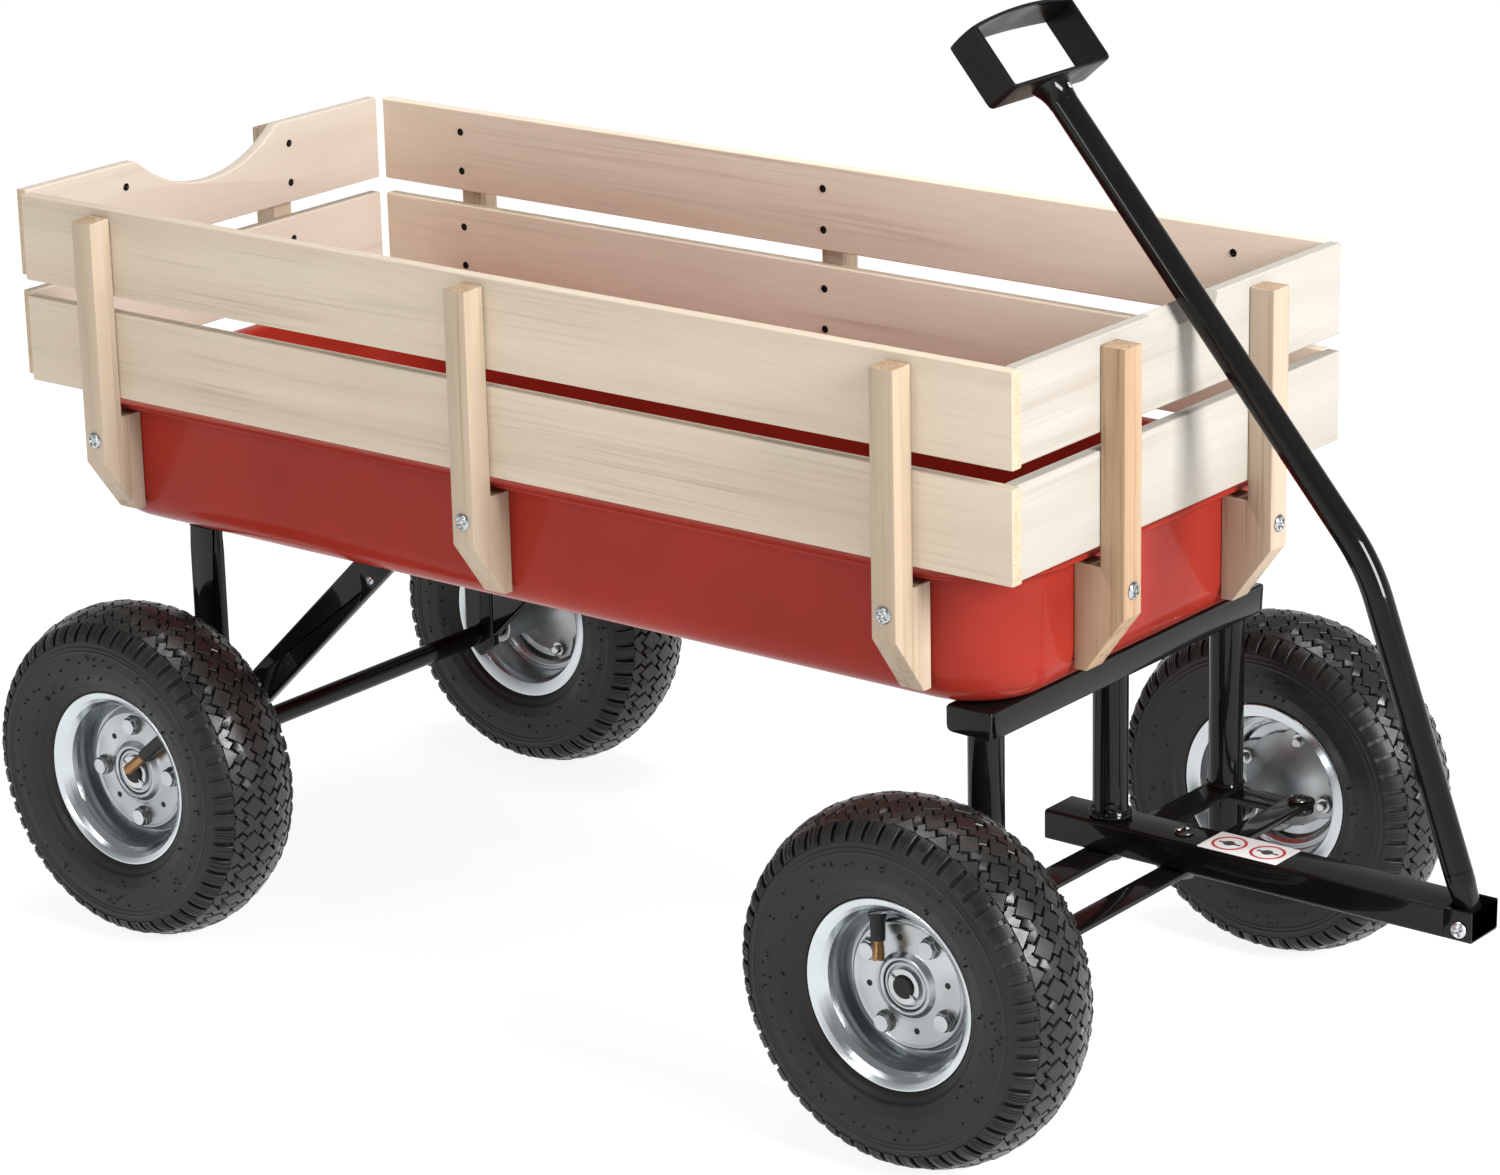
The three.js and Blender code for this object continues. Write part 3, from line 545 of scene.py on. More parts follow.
# ---------- slatted sides ----------
BOARD_EDGE = 1.1
WOOD_SHARP_ANGLE = 32
SCOOP_HALF_CHORD = 78.5
SCOOP_DEPTH = 30.0
SCOOP_LIP = 14.0
SADDLE_HALF_WIDTH = 40.5
SADDLE_DEPTH = 13.2
SADDLE_CORNER = 10
STATION_STEP = 8
STATION_MARGIN = 12
HANDLE_LEAN_LOW = radians(20.0)
HANDLE_LEAN_HIGH = radians(40.7)
BOARD_SCREW_HEIGHTS = (16.0, 48.0)


def grain_lines(chance, order):
    """Grain coordinates with the board's length first, shifted so that no two boards match."""
    shift = Vector([chance.uniform(0, 9) for _ in range(3)])
    return lambda vert: Vector([vert[axis] for axis in order]) + shift


def show_wood(part, name, materials, grain, end_axis, node):
    mesh = Solid().add(part).mesh(name, materials, WOOD_SHARP_ANGLE, grain, end_axis)
    show(mesh, "chassis", [node])


def board_outline(node, low, high):
    """Outline in (along, height); the scooped board has its arc in the top edge."""
    (a0, b0), (a1, b1) = low, high
    if node != "rear_slat_upper":
        return fillet(rectangle(a0, b0, a1, b1), 1.5, 3, True)
    radius = (SCOOP_HALF_CHORD**2 + SCOOP_DEPTH**2) / (2 * SCOOP_DEPTH)
    swing = degrees(asin(SCOOP_HALF_CHORD / radius))
    bowl = arc((0, b1 - SCOOP_DEPTH + radius), radius, -90 + swing, -90 - swing, 28)
    reach = SCOOP_HALF_CHORD + SCOOP_LIP
    lip = [(reach, b1)] + bowl + [(-reach, b1)]
    softened = fillet(lip, [0, 9] + [0] * (len(bowl) - 2) + [9, 0], 4)
    return [(a0, b0), (a1, b0), (a1, b1)] + softened + [(a0, b1)]


def saddle_stations(low, high):
    """Places along the board where it is sectioned: evenly, and closer at the saddle's ends."""
    stations = [low.y, low.y + 1.5, high.y - 1.5, high.y]
    count = int((high.y - low.y - 2 * STATION_MARGIN) / STATION_STEP) + 1
    stations += [low.y + STATION_MARGIN + step * STATION_STEP for step in range(count)]
    for step in (0, 3, 6, SADDLE_CORNER):
        stations += [SADDLE_HALF_WIDTH - step, step - SADDLE_HALF_WIDTH]
    return sorted(set(stations))


def saddled_board(low, high):
    """Front upper board: sections whose top front edge dips into the sloped saddle."""
    slope = tan(pi / 2 - HANDLE_LEAN_HIGH)
    edge = BOARD_EDGE
    rings = []
    for y in saddle_stations(low, high):
        tuck = edge if y in (low.y, high.y) else 0.0
        rise = max(0.0, abs(y) - (SADDLE_HALF_WIDTH - SADDLE_CORNER))
        lift = 99
        if rise < SADDLE_CORNER:
            lift = SADDLE_CORNER - sqrt(SADDLE_CORNER**2 - rise * rise)
        floor = high.z - SADDLE_DEPTH + lift
        front_top = min(high.z - edge, floor)
        reach = min(high.x - low.x - edge, max(0.0, (high.z - front_top) / slope))
        back = high.x - (reach + tuck if floor < high.z else edge)
        section = [(low.x + tuck, low.z + edge), (low.x + edge, low.z + tuck)]
        section += [(high.x - edge, low.z + tuck), (high.x - tuck, low.z + edge)]
        section += [(high.x - tuck, front_top), (back, high.z - tuck)]
        section += [(low.x + edge, high.z - tuck), (low.x + tuck, high.z - edge)]
        rings.append([(x, y, z) for x, z in section])
    return loft(rings)


def add_boards():
    chance = random.Random(7)
    # each side takes its own wood, which carries that side's painted light and shade
    for side, finish in PAINTED_LIGHT_SLAT_WOODS.items():
        along, thick = (0, 1) if side in ("left", "right") else (1, 0)
        for row in ("lower", "upper"):
            node = f"{side}_slat_{row}"
            low, high = box_mm(node)
            if node == "front_slat_upper":
                part = saddled_board(low, high)
            else:
                outline = board_outline(node, (low[along], low.z), (high[along], high.z))
                part = plate(outline, low[thick], high[thick], "xy"[thick], BOARD_EDGE)
            grain = grain_lines(chance, (along, 2, thick))
            show_wood(part, f"{node}_board", [finish, BOARD_END], grain, along, node)


# ---------- stakes ----------
STAKE_LEDGE_Z = 395.5
STAKE_BEVEL_Z = 362.0
STAKE_BEVEL_DEPTH = 31.0
STAKE_SHOULDER = 19.7
STAKE_SCREW_Z = 380.0
STAKE_SCREW_RADIUS = 6.2
STAKE_TOP_SLANT = 1.2


def stake_facing(node, low):
    """Outward direction of a stake, from where it stands."""
    if node.startswith(("front", "rear")):
        return Vector((1 if low.x > 0 else -1, 0, 0))
    return Vector((0, 1 if low.y > 0 else -1, 0))


def stake_nodes():
    names = [f"{side}_stake_{place}" for side, _ in SIDES for place in ("rear", "middle", "front")]
    return names + [f"{end}_stake_{side}" for end in ("front", "rear") for side, _ in SIDES]


def add_stakes():
    chance = random.Random(11)
    screws = Solid()
    for node in stake_nodes():
        low, high = box_mm(node)
        outward = stake_facing(node, low)
        deep, wide = (0, 1) if abs(outward.x) > 0.5 else (1, 0)
        sign = outward.x + outward.y
        outer, foot = (high[deep], low[deep]) if sign > 0 else (low[deep], high[deep])
        shoulder = outer - sign * STAKE_SHOULDER
        slant = chance.uniform(-STAKE_TOP_SLANT, STAKE_TOP_SLANT)
        profile = [(shoulder, high.z), (shoulder, STAKE_LEDGE_Z), (foot, STAKE_LEDGE_Z)]
        profile += [(foot, low.z), (outer - sign * STAKE_BEVEL_DEPTH, low.z)]
        profile += [(outer, STAKE_BEVEL_Z), (outer, high.z + slant)]
        part = plate(fillet(profile, 0.8, 2, True), low[wide], high[wide], "xy"[wide], 0.9)
        grain = grain_lines(chance, (2, wide, deep))
        finish = TAN_STAKE_WOOD if node == "front_stake_right" else STAKE_WOOD
        show_wood(part, f"{node}_post", [finish, STAKE_END], grain, 2, node)
        place = (low + high) / 2
        place[deep], place.z = outer, STAKE_SCREW_Z
        head = cross_head(STAKE_SCREW_RADIUS, 2.6, chance.uniform(0, 1.5))
        screws.add(head, facing(place, outward))
    screws.show("stake_screws", [BOLT_ZINC], 30, "chassis", "zinc")


def add_board_screws():
    """Small dark screws on the boards' inner faces, two at each stake on each board."""
    screws = Solid()
    for node in stake_nodes():
        low, high = box_mm(node)
        outward = stake_facing(node, low)
        deep = 0 if abs(outward.x) > 0.5 else 1
        for row in ("lower", "upper"):
            board_low, board_high = box_mm(f"{node.split('_')[0]}_slat_{row}")
            for height in BOARD_SCREW_HEIGHTS:
                place = (low + high) / 2
                place[deep] = board_low[deep] if outward[deep] > 0 else board_high[deep]
                place.z = board_low.z + height
                screws.add(cross_head(3.0, 1.1, 0.4, cells=10), facing(place, -outward))
    screws.show("board_screws", [BLACK_SCREW], 40, "chassis", "zinc")


# ---------- tray ----------
TRAY_CORNER = 66.0
FLOOR_RADIUS = 30.0
FLOOR_MARGIN = 14.0
TRAY_WALL = 2.0
RIM_REACH = 11.0
RIM_ROLL = 1.7


def rounded_ring(low, high, out, level):
    """The tray's rounded rectangle grown outwards by out, as a ring of points."""
    radius = max(2.0, TRAY_CORNER + out)
    x0, x1 = low.x - out + radius, high.x + out - radius
    y0, y1 = low.y - out + radius, high.y + out - radius
    ring = []
    for x, y, start in ((x1, y0, -90), (x1, y1, 0), (x0, y1, 90), (x0, y0, 180)):
        ring += arc((x, y), radius, start, start + 90, 14)
    return [(x, y, level) for x, y in ring]


def add_tray():
    """One wall section, from under the floor round the rim and back over the floor."""
    low, high = box_mm("tray")
    inward = Vector((RIM_REACH, RIM_REACH, 0))
    bottom, rim = low.z, high.z
    centre = (0, bottom + FLOOR_RADIUS)
    under = rim - 2 * RIM_ROLL
    roll = RIM_REACH - 1.6
    path = [(-FLOOR_RADIUS - FLOOR_MARGIN, bottom)]
    path += [(u - FLOOR_RADIUS, z) for u, z in arc(centre, FLOOR_RADIUS, -90, 0, 10)]
    path += fillet([(0, bottom + 45), (0, under), (roll, under)], 2.0)[1:]
    path += [(roll + u, rim - RIM_ROLL + z) for u, z in arc((0, 0), RIM_ROLL, -90, 90, 6)]
    path += fillet([(RIM_REACH - 2, rim), (-TRAY_WALL, rim), (-TRAY_WALL, rim - 30)], 3.0)[1:]
    inner = arc(centre, FLOOR_RADIUS - TRAY_WALL, 0, -90, 10)
    path += [(u - FLOOR_RADIUS, z) for u, z in inner]
    path += [(-FLOOR_RADIUS - FLOOR_MARGIN, bottom + TRAY_WALL)]
    rings = [rounded_ring(low + inward, high - inward, out, z) for out, z in path]
    Solid().add(loft(rings)).show("tray_shell", [RED], 50, "chassis", "red_paint", "tray")


# ---------- frame ----------
TUBE_RADIUS = 12.7
TUBE_BORE = 8.7
POST_BORE = 7.0
PAN_WALL = 3.0
PAN_SEAM = 1.3


def weld(centre, radius, thickness, axis="z", seed=1):
    """Lumpy bead of weld round a tube."""
    chance = random.Random(seed)
    rings = []
    for angle in full_turn(40):
        size = thickness * chance.uniform(0.75, 1.15)
        ring = []
        for turn in full_turn(6):
            place = AXES[axis](*polar(radius + size * cos(turn), angle), size * sin(turn))
            ring.append(Vector(place) + Vector(centre))
        rings.append(ring)
    return loft(rings, looped=True)


def add_crossbeam():
    """Folded pan: top, four flanges and an open seam at each corner."""
    low, high = box_mm("front_crossbeam")
    top = high.z - 1.0
    solid = Solid()
    solid.add(block((low.x, low.y, high.z - PAN_WALL), (high.x, high.y, high.z), 1.2, 3.0))
    for x0, x1 in ((low.x, low.x + PAN_WALL), (high.x - PAN_WALL, high.x)):
        y0, y1 = low.y + PAN_WALL + PAN_SEAM, high.y - PAN_WALL - PAN_SEAM
        outline = [(y0 + 1.5, low.z), (y1 - 1.5, low.z), (y1, top), (y0, top)]
        solid.add(plate(fillet(outline, 1.5, 3, True), x0, x1, "x", 0.8))
    for y0, y1 in ((low.y, low.y + PAN_WALL), (high.y - PAN_WALL, high.y)):
        outline = [(low.x, low.z + 1.0), (high.x - 1.5, low.z), (high.x - 0.4, top), (low.x, top)]
        solid.add(plate(fillet(outline, [5, 2, 1, 1], 3, True), y0, y1, "y", 0.8))
    show_black(solid, "front_crossbeam", "pan")


def add_rear_strap():
    show_black(Solid().add(block(*box_mm("rear_crossbeam"), 1.0, 2.0)), "rear_crossbeam", "strap")


def add_front_legs():
    for side, _ in SIDES:
        node = f"front_leg_{side}"
        low, high = box_mm(node)
        x, y, _ = centre_mm(node)
        profile = [(TUBE_BORE, low.z), (TUBE_RADIUS - 0.6, low.z), (TUBE_RADIUS, low.z + 0.6)]
        profile += [(TUBE_RADIUS, high.z), (TUBE_BORE, high.z)]
        solid = Solid().add(spin(profile, 48, "z", True), at(x, y, 0))
        solid.add(weld((x, y, low.z + 1.2), TUBE_RADIUS, 1.6, seed=3))
        show_black(solid, node, "tube", 40)


def add_king_post():
    """Tube with a flared foot, its weld and a small grease nipple."""
    low, high = box_mm("king_post")
    x, y, _ = centre_mm("king_post")
    foot = [(14.6, 0), (15.2, 0.8), (14.8, 2.4), (13.4, 4.0), (TUBE_RADIUS, 7)]
    profile = [(POST_BORE, low.z)] + [(radius, low.z + rise) for radius, rise in foot]
    profile += [(TUBE_RADIUS, high.z), (POST_BORE, high.z)]
    solid = Solid().add(spin(profile, 48, "z", True), at(x, y, 0))
    solid.add(weld((x, y, low.z + 3.4), 13.6, 1.7, seed=5))
    solid.add(hex_head(4.2, 3.5), facing((x + 7.5, y - 10.5, low.z + 9.5), (0.6, -0.8, 0)))
    show_black(solid, "king_post", "tube", 40)


def add_flat_bar(node, body):
    low, high = box_mm(node)
    outline = rectangle(low.x, low.y, high.x, high.y)
    outline = fillet(outline, (high.x - low.x) / 2 - 0.5, 8, True)
    show_black(Solid().add(plate(outline, low.z, high.z, "z", 0.8)), node, "bar", body=body)


# ---------- tongue ----------
TONGUE_WALL = 2.5
TONGUE_MOUTH = 21.0
LABEL_REAR = 20.5
LABEL_LENGTH = 64.0
LABEL_HALF_WIDTH = 16.6
LABEL_RING_RADIUS = 12.6


def add_tongue():
    """Box channel, closed behind its mouth and open on top where the handle drops in."""
    low, high = box_mm("tongue")
    w = TONGUE_WALL
    mouth = high.x - TONGUE_MOUTH
    outer = fillet(rectangle(low.y, low.z, high.y, high.z), 2.6, 4, True)
    inner = fillet(rectangle(low.y + w, low.z + w, high.y - w, high.z - w), 1.0, 4, True)
    rings = []
    for x, ring in ((low.x, outer), (mouth, outer), (mouth, inner), (low.x, inner)):
        rings.append([(x, y, z) for y, z in ring])
    solid = Solid().add(loft(rings, looped=True))
    shape = [(low.y, high.z), (low.y, low.z), (high.y, low.z), (high.y, high.z)]
    shape += [(high.y - w, high.z), (high.y - w, low.z + w)]
    shape += [(low.y + w, low.z + w), (low.y + w, high.z)]
    shape = fillet(shape, [0.8, 2.6, 2.6, 0.8, 0.8, 1, 1, 0.8], 3, True)
    solid.add(plate(shape, mouth - 0.2, high.x, "x", 0.9))
    show_black(solid, "tongue", "channel", 30, "tongue")


def add_tongue_bolts():
    low, high = box_mm("tongue")
    foot = box_mm("tie_bolt")[0].z
    x, y, _ = centre_mm("tie_bolt")
    bolt = Solid().add(cross_head(7.0, 3.4, 0.9), facing((x, y, high.z), UP))
    shank = [(0, foot), (4.0, foot), (4.8, foot + 0.8), (4.8, high.z), (0, high.z)]
    bolt.add(spin(shank, 24, "z"), at(x, y, 0))
    bolt.add(hex_head(8.2, 5.6), facing((x, y, foot + 6.0), -UP))
    bolt.show("tie_bolt_fine", [DARK_STEEL], 35, "tongue", "zinc", "tie_bolt")

    node = "handle_pivot_bolt"
    x, _, z = centre_mm(node)
    nut = box_mm(node)[1].y - high.y - 0.6
    bolt = Solid().add(cross_head(5.8, 3.6, 0.5), facing((x, low.y - 0.2, z), -ACROSS))
    bolt.add(spin([(0, low.y), (3.9, low.y), (3.9, high.y), (0, high.y)], 24), at(x, 0, z))
    bolt.add(hex_head(6.6, nut), facing((x, high.y + 0.2, z), ACROSS))
    bolt.show("handle_pivot_fine", [ZINC], 35, "tongue", "zinc", node)


def add_label():
    """Plain sticker with two red rings, and a bar and a dot in each."""
    start = centre_mm("tie_bolt").x + LABEL_REAR
    top = box_mm("tongue")[1].z + 0.05
    low = (start, -LABEL_HALF_WIDTH, top)
    high = (start + LABEL_LENGTH, LABEL_HALF_WIDTH, top + 0.25)
    solid = Solid().add(block(low, high, 0.1, 1.5))
    outer, inner = LABEL_RING_RADIUS, LABEL_RING_RADIUS - 2
    for share in (0.26, 0.74):
        x = start + LABEL_LENGTH * share
        rings = []
        for radius, level in ((outer, 0.2), (outer, 0.4), (inner, 0.4), (inner, 0.2)):
            rings.append([(x + a, b, top + level) for a, b in circle(radius, 48)])
        solid.add(loft(rings, looped=True), slot=1)
        bar = rectangle(-8.5, -1.0, 8.5, 1.0)
        solid.add(plate(bar, top + 0.2, top + 0.42, "z", 0.1), at(x, 0, 0), 2)
        dot = circle(4.2, 20)
        solid.add(plate(dot, top + 0.2, top + 0.44, "z", 0.1), at(x - 0.5, 0, 0), 2)
    materials = [LABEL_WHITE, LABEL_RED, LABEL_GREY]
    solid.show("tongue_label", materials, 30, "tongue", "black_paint")


# ---------- knuckles and rear frame ----------
ARM_LOW_Z = 144.5
ARM_HIGH_Z = 148.7
AXLE_Z = 130
ROD_TOP_Z = 153.4
LEG_SHOULDER = 12.0
BRACE_WIDTH = 27.0
BRACE_FOOT = Vector((-430.5, 134.0))
BRACE_HEAD = Vector((-258.5, 300.0))
BRACE_RUN = (BRACE_HEAD - BRACE_FOOT).normalized()
BRACE_ACROSS = Vector((-BRACE_RUN.y, BRACE_RUN.x)) * BRACE_WIDTH / 2


def add_knuckles():
    """Each knuckle's arm, kingpin boss and stub axle, and the bolt at its tie-rod end."""
    for side, sign in SIDES:
        node = f"steering_knuckle_{side}"
        low, high = box_mm(node)
        pin_x, pin_y, _ = centre_mm(f"front_leg_{side}")
        x, y, _ = centre_mm(f"tie_rod_bolt_{side}")
        outline = arc((pin_x, pin_y), 13.5, 90, 270, 12) + arc((x, y), 11.5, -90, 90, 12)
        solid = Solid().add(plate(outline, ARM_LOW_Z, ARM_HIGH_Z, "z", 0.8))
        boss = [(0, 117), (11.8, 117), (13, 118.2), (13, 143.5), (12.2, 144.6)]
        boss += [(7.7, 144.6), (7.7, high.z - 1), (0, high.z)]
        solid.add(spin(boss, 40, "z"), at(pin_x, pin_y, 0))
        end = high.y if sign > 0 else low.y
        stub = [(0, pin_y), (8, pin_y), (8, end - sign * 1.5), (6.8, end), (0, end)]
        solid.add(spin(stub, 40), at(pin_x, 0, AXLE_Z))
        solid.add(weld((pin_x, pin_y + sign * 13.2, AXLE_Z), 8.6, 1.6, "y", 9))
        show_black(solid, node, "fine", body=f"knuckle_{side}")

        node = f"tie_rod_bolt_{side}"
        foot = box_mm(node)[0].z
        bolt = Solid().add(cross_head(7.6, 3.4, 0.2), facing((x, y, ROD_TOP_Z - 0.1), UP))
        shank = [(0, foot), (4.6, foot), (4.6, ROD_TOP_Z), (0, ROD_TOP_Z)]
        bolt.add(spin(shank, 24, "z"), at(x, y, 0))
        bolt.add(hex_head(7.8, 4.8), facing((x, y, ARM_LOW_Z - 0.3), -UP))
        bolt.show(f"{node}_fine", [DARK_STEEL], 35, f"knuckle_{side}", "zinc", node)


def add_king_bolt():
    low, high = box_mm("king_bolt")
    x, y, _ = centre_mm("king_bolt")
    bolt = Solid().add(hex_head(9.6, 5.0), facing((x, y, low.z + 5.0), -UP))
    shank = [(0, low.z + 3), (6, low.z + 3), (6, high.z), (0, high.z)]
    bolt.add(spin(shank, 24, "z"), at(x, y, 0))
    bolt.show("king_bolt_fine", [DARK_STEEL], 35, "chassis", "zinc", "king_bolt")


def add_rear_leg(side, sign):
    """Flat leg with a blunt point below the axle, and the weld that joins the two."""
    node = f"rear_leg_{side}"
    axle = centre_mm("rear_axle")
    low, high = box_mm(node)
    outline = [(low.x, low.z + LEG_SHOULDER), ((low.x + high.x) / 2, low.z)]
    outline += [(high.x, low.z + LEG_SHOULDER), (high.x, high.z - 20), (high.x - 1.2, high.z)]
    outline += [(low.x + 1.2, high.z), (low.x, high.z - 20)]
    outline = fillet(outline, [4, 3, 4, 6, 0.5, 0.5, 6], 4, True)
    solid = Solid().add(plate(outline, low.y, high.y, "y", 2.6, 4))
    outer = high.y if sign > 0 else low.y
    solid.add(weld((axle.x, outer, axle.z), 8.8, 1.8, "y", 12))
    show_black(solid, node, "channel")


def brace_point(shift, axis, value):
    """Point on the brace, shift half widths off its middle, where x (axis 0) or z (1) is value."""
    start = BRACE_FOOT + BRACE_ACROSS * shift
    return tuple(start + BRACE_RUN * (value - start[axis]) / BRACE_RUN[axis])


def add_rear_brace(side, sign):
    """Slanted strap with a raised lip and a screw at its head."""
    node = f"rear_brace_{side}"
    low, high = box_mm(node)
    outline = [brace_point(-1, 0, low.x), brace_point(-1, 1, high.z)]
    outline += [brace_point(1, 1, high.z), brace_point(1, 0, low.x)]
    solid = Solid().add(plate(fillet(outline, 1.5, 3, True), low.y, high.y, "y", 2.4, 4))
    outer = high.y if sign > 0 else low.y
    top = high.z - 1
    lip = [brace_point(-1, 1, top - 33), brace_point(-1, 1, top), brace_point(0.75, 1, top)]
    lip.append(tuple(Vector(lip[2]) * 0.55 + Vector(lip[0]) * 0.45 - BRACE_ACROSS * 0.35))
    lip = fillet(lip, [1, 1, 1, 9], 5, True)
    solid.add(plate(lip, outer - 0.6, outer + 0.6, "y", 0.5))
    head = BRACE_HEAD - BRACE_RUN * 6 - BRACE_ACROSS * 0.5
    solid.add(cross_head(3.6, 2.6, 0.3), facing((head.x, outer, head.y), (0, sign, 0)), 1)
    materials = [BLACK, BOLT_ZINC]
    solid.show(f"{node}_channel", materials, 35, "chassis", "black_paint", node)


def add_rear_axle():
    low, high = box_mm("rear_axle")
    x, _, z = centre_mm("rear_axle")
    half = [(0, low.y), (6.8, low.y), (8, low.y + 1.4)]
    axle = half + [(8, high.y - 1.4), (6.8, high.y), (0, high.y)]
    show_black(Solid().add(spin(axle, 48), at(x, 0, z)), "rear_axle", "rod")


# ---------- handle ----------
HANDLE_RADIUS = 10.0
HANDLE_LOWER = 248.6
HANDLE_UPPER = 388.9
HANDLE_BEND = 140.0
HANDLE_FACETS = 40
FOOT_HALF_WIDTH = 8.0
FOOT_HALF_DEPTH = 6.0
FLARE_LENGTH = 15
GRIP_HALF = 57.0
GRIP_HEIGHT = 51.0
GRIP_STRIP = 28.0
GRIP_PLATE = 2.6
GRIP_CROWN = 3.5
GRIP_BARREL = 3.0
GRIP_BOW = 1.6


def lean_vector(lean):
    return Vector((-sin(lean), 0, cos(lean)))


def foot_section(share):
    """Flattened strap at the pivot (share 0) that turns into the round tube higher up."""
    flat = max(0.0, 1 - share * 1.35) ** 0.8 if share < 0.74 else 0.0
    half_y = HANDLE_RADIUS * (1 - flat) + FOOT_HALF_WIDTH * flat
    half_x = HANDLE_RADIUS * (1 - flat) + FOOT_HALF_DEPTH * flat
    power = 1 - 0.55 * flat
    ring = []
    for angle in full_turn(HANDLE_FACETS):
        c, s = cos(angle), sin(angle)
        across = copysign(abs(c) ** power, c) * half_y
        ring.append((across, copysign(abs(s) ** power, s) * half_x))
    return ring


def handle_flare(top, up):
    """The tube's end under the grip, spread sideways like a bell."""
    rings = []
    for step in range(13):
        share = step / 12
        spread = share**2.2
        place = top - up * (FLARE_LENGTH * (1 - share) + 0.4)
        ring = []
        for angle in full_turn(HANDLE_FACETS):
            a = cos(angle) * (HANDLE_RADIUS + 0.3 + 8 * spread)
            b = sin(angle) * (HANDLE_RADIUS + 0.3 + 2.2 * spread)
            ring.append(place + ACROSS * a + up.cross(ACROSS) * b)
        rings.append(ring)
    return loft(rings)


def add_handle():
    """Tube with one bend, a flattened foot round the pivot bolt, and a flared top."""
    low_dir, high_dir = lean_vector(HANDLE_LEAN_LOW), lean_vector(HANDLE_LEAN_HIGH)
    pivot = centre_mm("handle_pivot_bolt")
    pivot.y = 0
    corner = pivot + low_dir * HANDLE_LOWER
    top = corner + high_dir * HANDLE_UPPER
    tangent = HANDLE_BEND * tan((HANDLE_LEAN_HIGH - HANDLE_LEAN_LOW) / 2)
    start = pivot + low_dir * 34
    path = [start, start + low_dir * 60, corner - low_dir * (tangent + 6)]
    first, last = corner - low_dir * tangent, corner + high_dir * tangent
    path += [curve_point(first, corner, last, step / 12) for step in range(13)]
    path += [corner + high_dir * (tangent + 8), top - high_dir * 30, top - high_dir * 0.4]
    tube = Solid().add(sweep(path, circle(HANDLE_RADIUS, HANDLE_FACETS), ACROSS))
    foot = [pivot + low_dir * reach for reach in (0, 6, 12, 16, 20, 24, 28, 32, 36)]
    tube.add(sweep(foot, foot_section, ACROSS))
    half = FOOT_HALF_DEPTH
    tip = fillet([(half, 0.5), (half, -half), (-half, -half), (-half, 0.5)], half, 6)
    turn = Matrix.Rotation(-HANDLE_LEAN_LOW, 4, "Y")
    tip = plate(tip, -FOOT_HALF_WIDTH, FOOT_HALF_WIDTH, "y", 0.8)
    tube.add(tip, Matrix.Translation(pivot) @ turn)
    tube.add(handle_flare(top, high_dir))
    tube.show("handle_tube_bent", [BLACK], 40, "handle", "black_paint", "handle_tube")

    front = high_dir.cross(ACROSS)
    if front.x < 0:
        front = -front
    place = top - high_dir * 9 + front * 12.2 - ACROSS * 0.5
    rivet = Solid().add(cross_head(2.2, 1.4, 0.3, 0.0, 12), facing(place, front))
    rivet.show("handle_rivet", [ZINC], 40, "handle", "zinc")
    add_grip(top, high_dir, front)


def grip_loop():
    """Centre line of the strap, as (across, up): domed top, straight sides, flat foot."""
    half, height = GRIP_HALF, GRIP_HEIGHT
    crown = (half**2 + GRIP_CROWN**2) / (2 * GRIP_CROWN)
    swing = degrees(asin(half / crown))
    loop = arc((0, height + GRIP_CROWN - crown), crown, 90 - swing, 90 + swing, 24)
    loop += [(-half, height * share) for share in (0.75, 0.5, 0.25)] + [(-half, 0)]
    loop += [(half * share, 0) for share in (-0.6, -0.2, 0.2, 0.6)] + [(half, 0)]
    loop += [(half, height * share) for share in (0.25, 0.5, 0.75)]
    radii = [5] + [0] * 23 + [5, 0, 0, 0, 5, 0, 0, 0, 0, 5, 0, 0, 0]
    return fillet(loop, radii, 5, True)


def add_grip(top, up, front):
    """Closed strap loop: flat sides, barrel-shaped crowned top bar."""
    half, height = GRIP_HALF, GRIP_HEIGHT
    loop = grip_loop()
    rings = []
    for index, (a, b) in enumerate(loop):
        along = (Vector(loop[(index + 1) % len(loop)]) - Vector(loop[index - 1])).normalized()
        normal = Vector((along.y, -along.x))
        on_top = max(0.0, (b - height * 0.9) / (height * 0.1 + GRIP_CROWN))
        bulge = GRIP_BARREL * (1 - (a / half) ** 2) if b > height * 0.6 else 0.0
        ring = []
        for across, depth in strap_section(GRIP_STRIP / 2 + bulge, GRIP_BOW * on_top):
            point = Vector((a, b)) - normal * (GRIP_PLATE / 2) + normal * depth
            ring.append(top + ACROSS * point.x + up * point.y + front * across)
        rings.append(ring)
    grip = Solid().add(loft(rings, looped=True))
    grip.show("handle_grip_loop", [GRIP_BLACK], 35, "handle", "black_paint", "handle_grip")


def strap_section(half_width, bow):
    """Strap across its width with rounded edges, bowed outwards by bow."""
    half = GRIP_PLATE / 2
    ring = []
    for sign in (1, -1):
        for step in range(7):
            angle = radians(-90 * sign + 180 * step / 6)
            across = sign * (half_width - half) + half * cos(angle)
            ring.append((across, half * sin(angle)))
        for share in (0.6, 0.25, -0.25, -0.6):
            ring.append((sign * share * half_width, half * sign))
    return [(a, b + bow * (1 - (a / half_width) ** 2)) for a, b in ring]


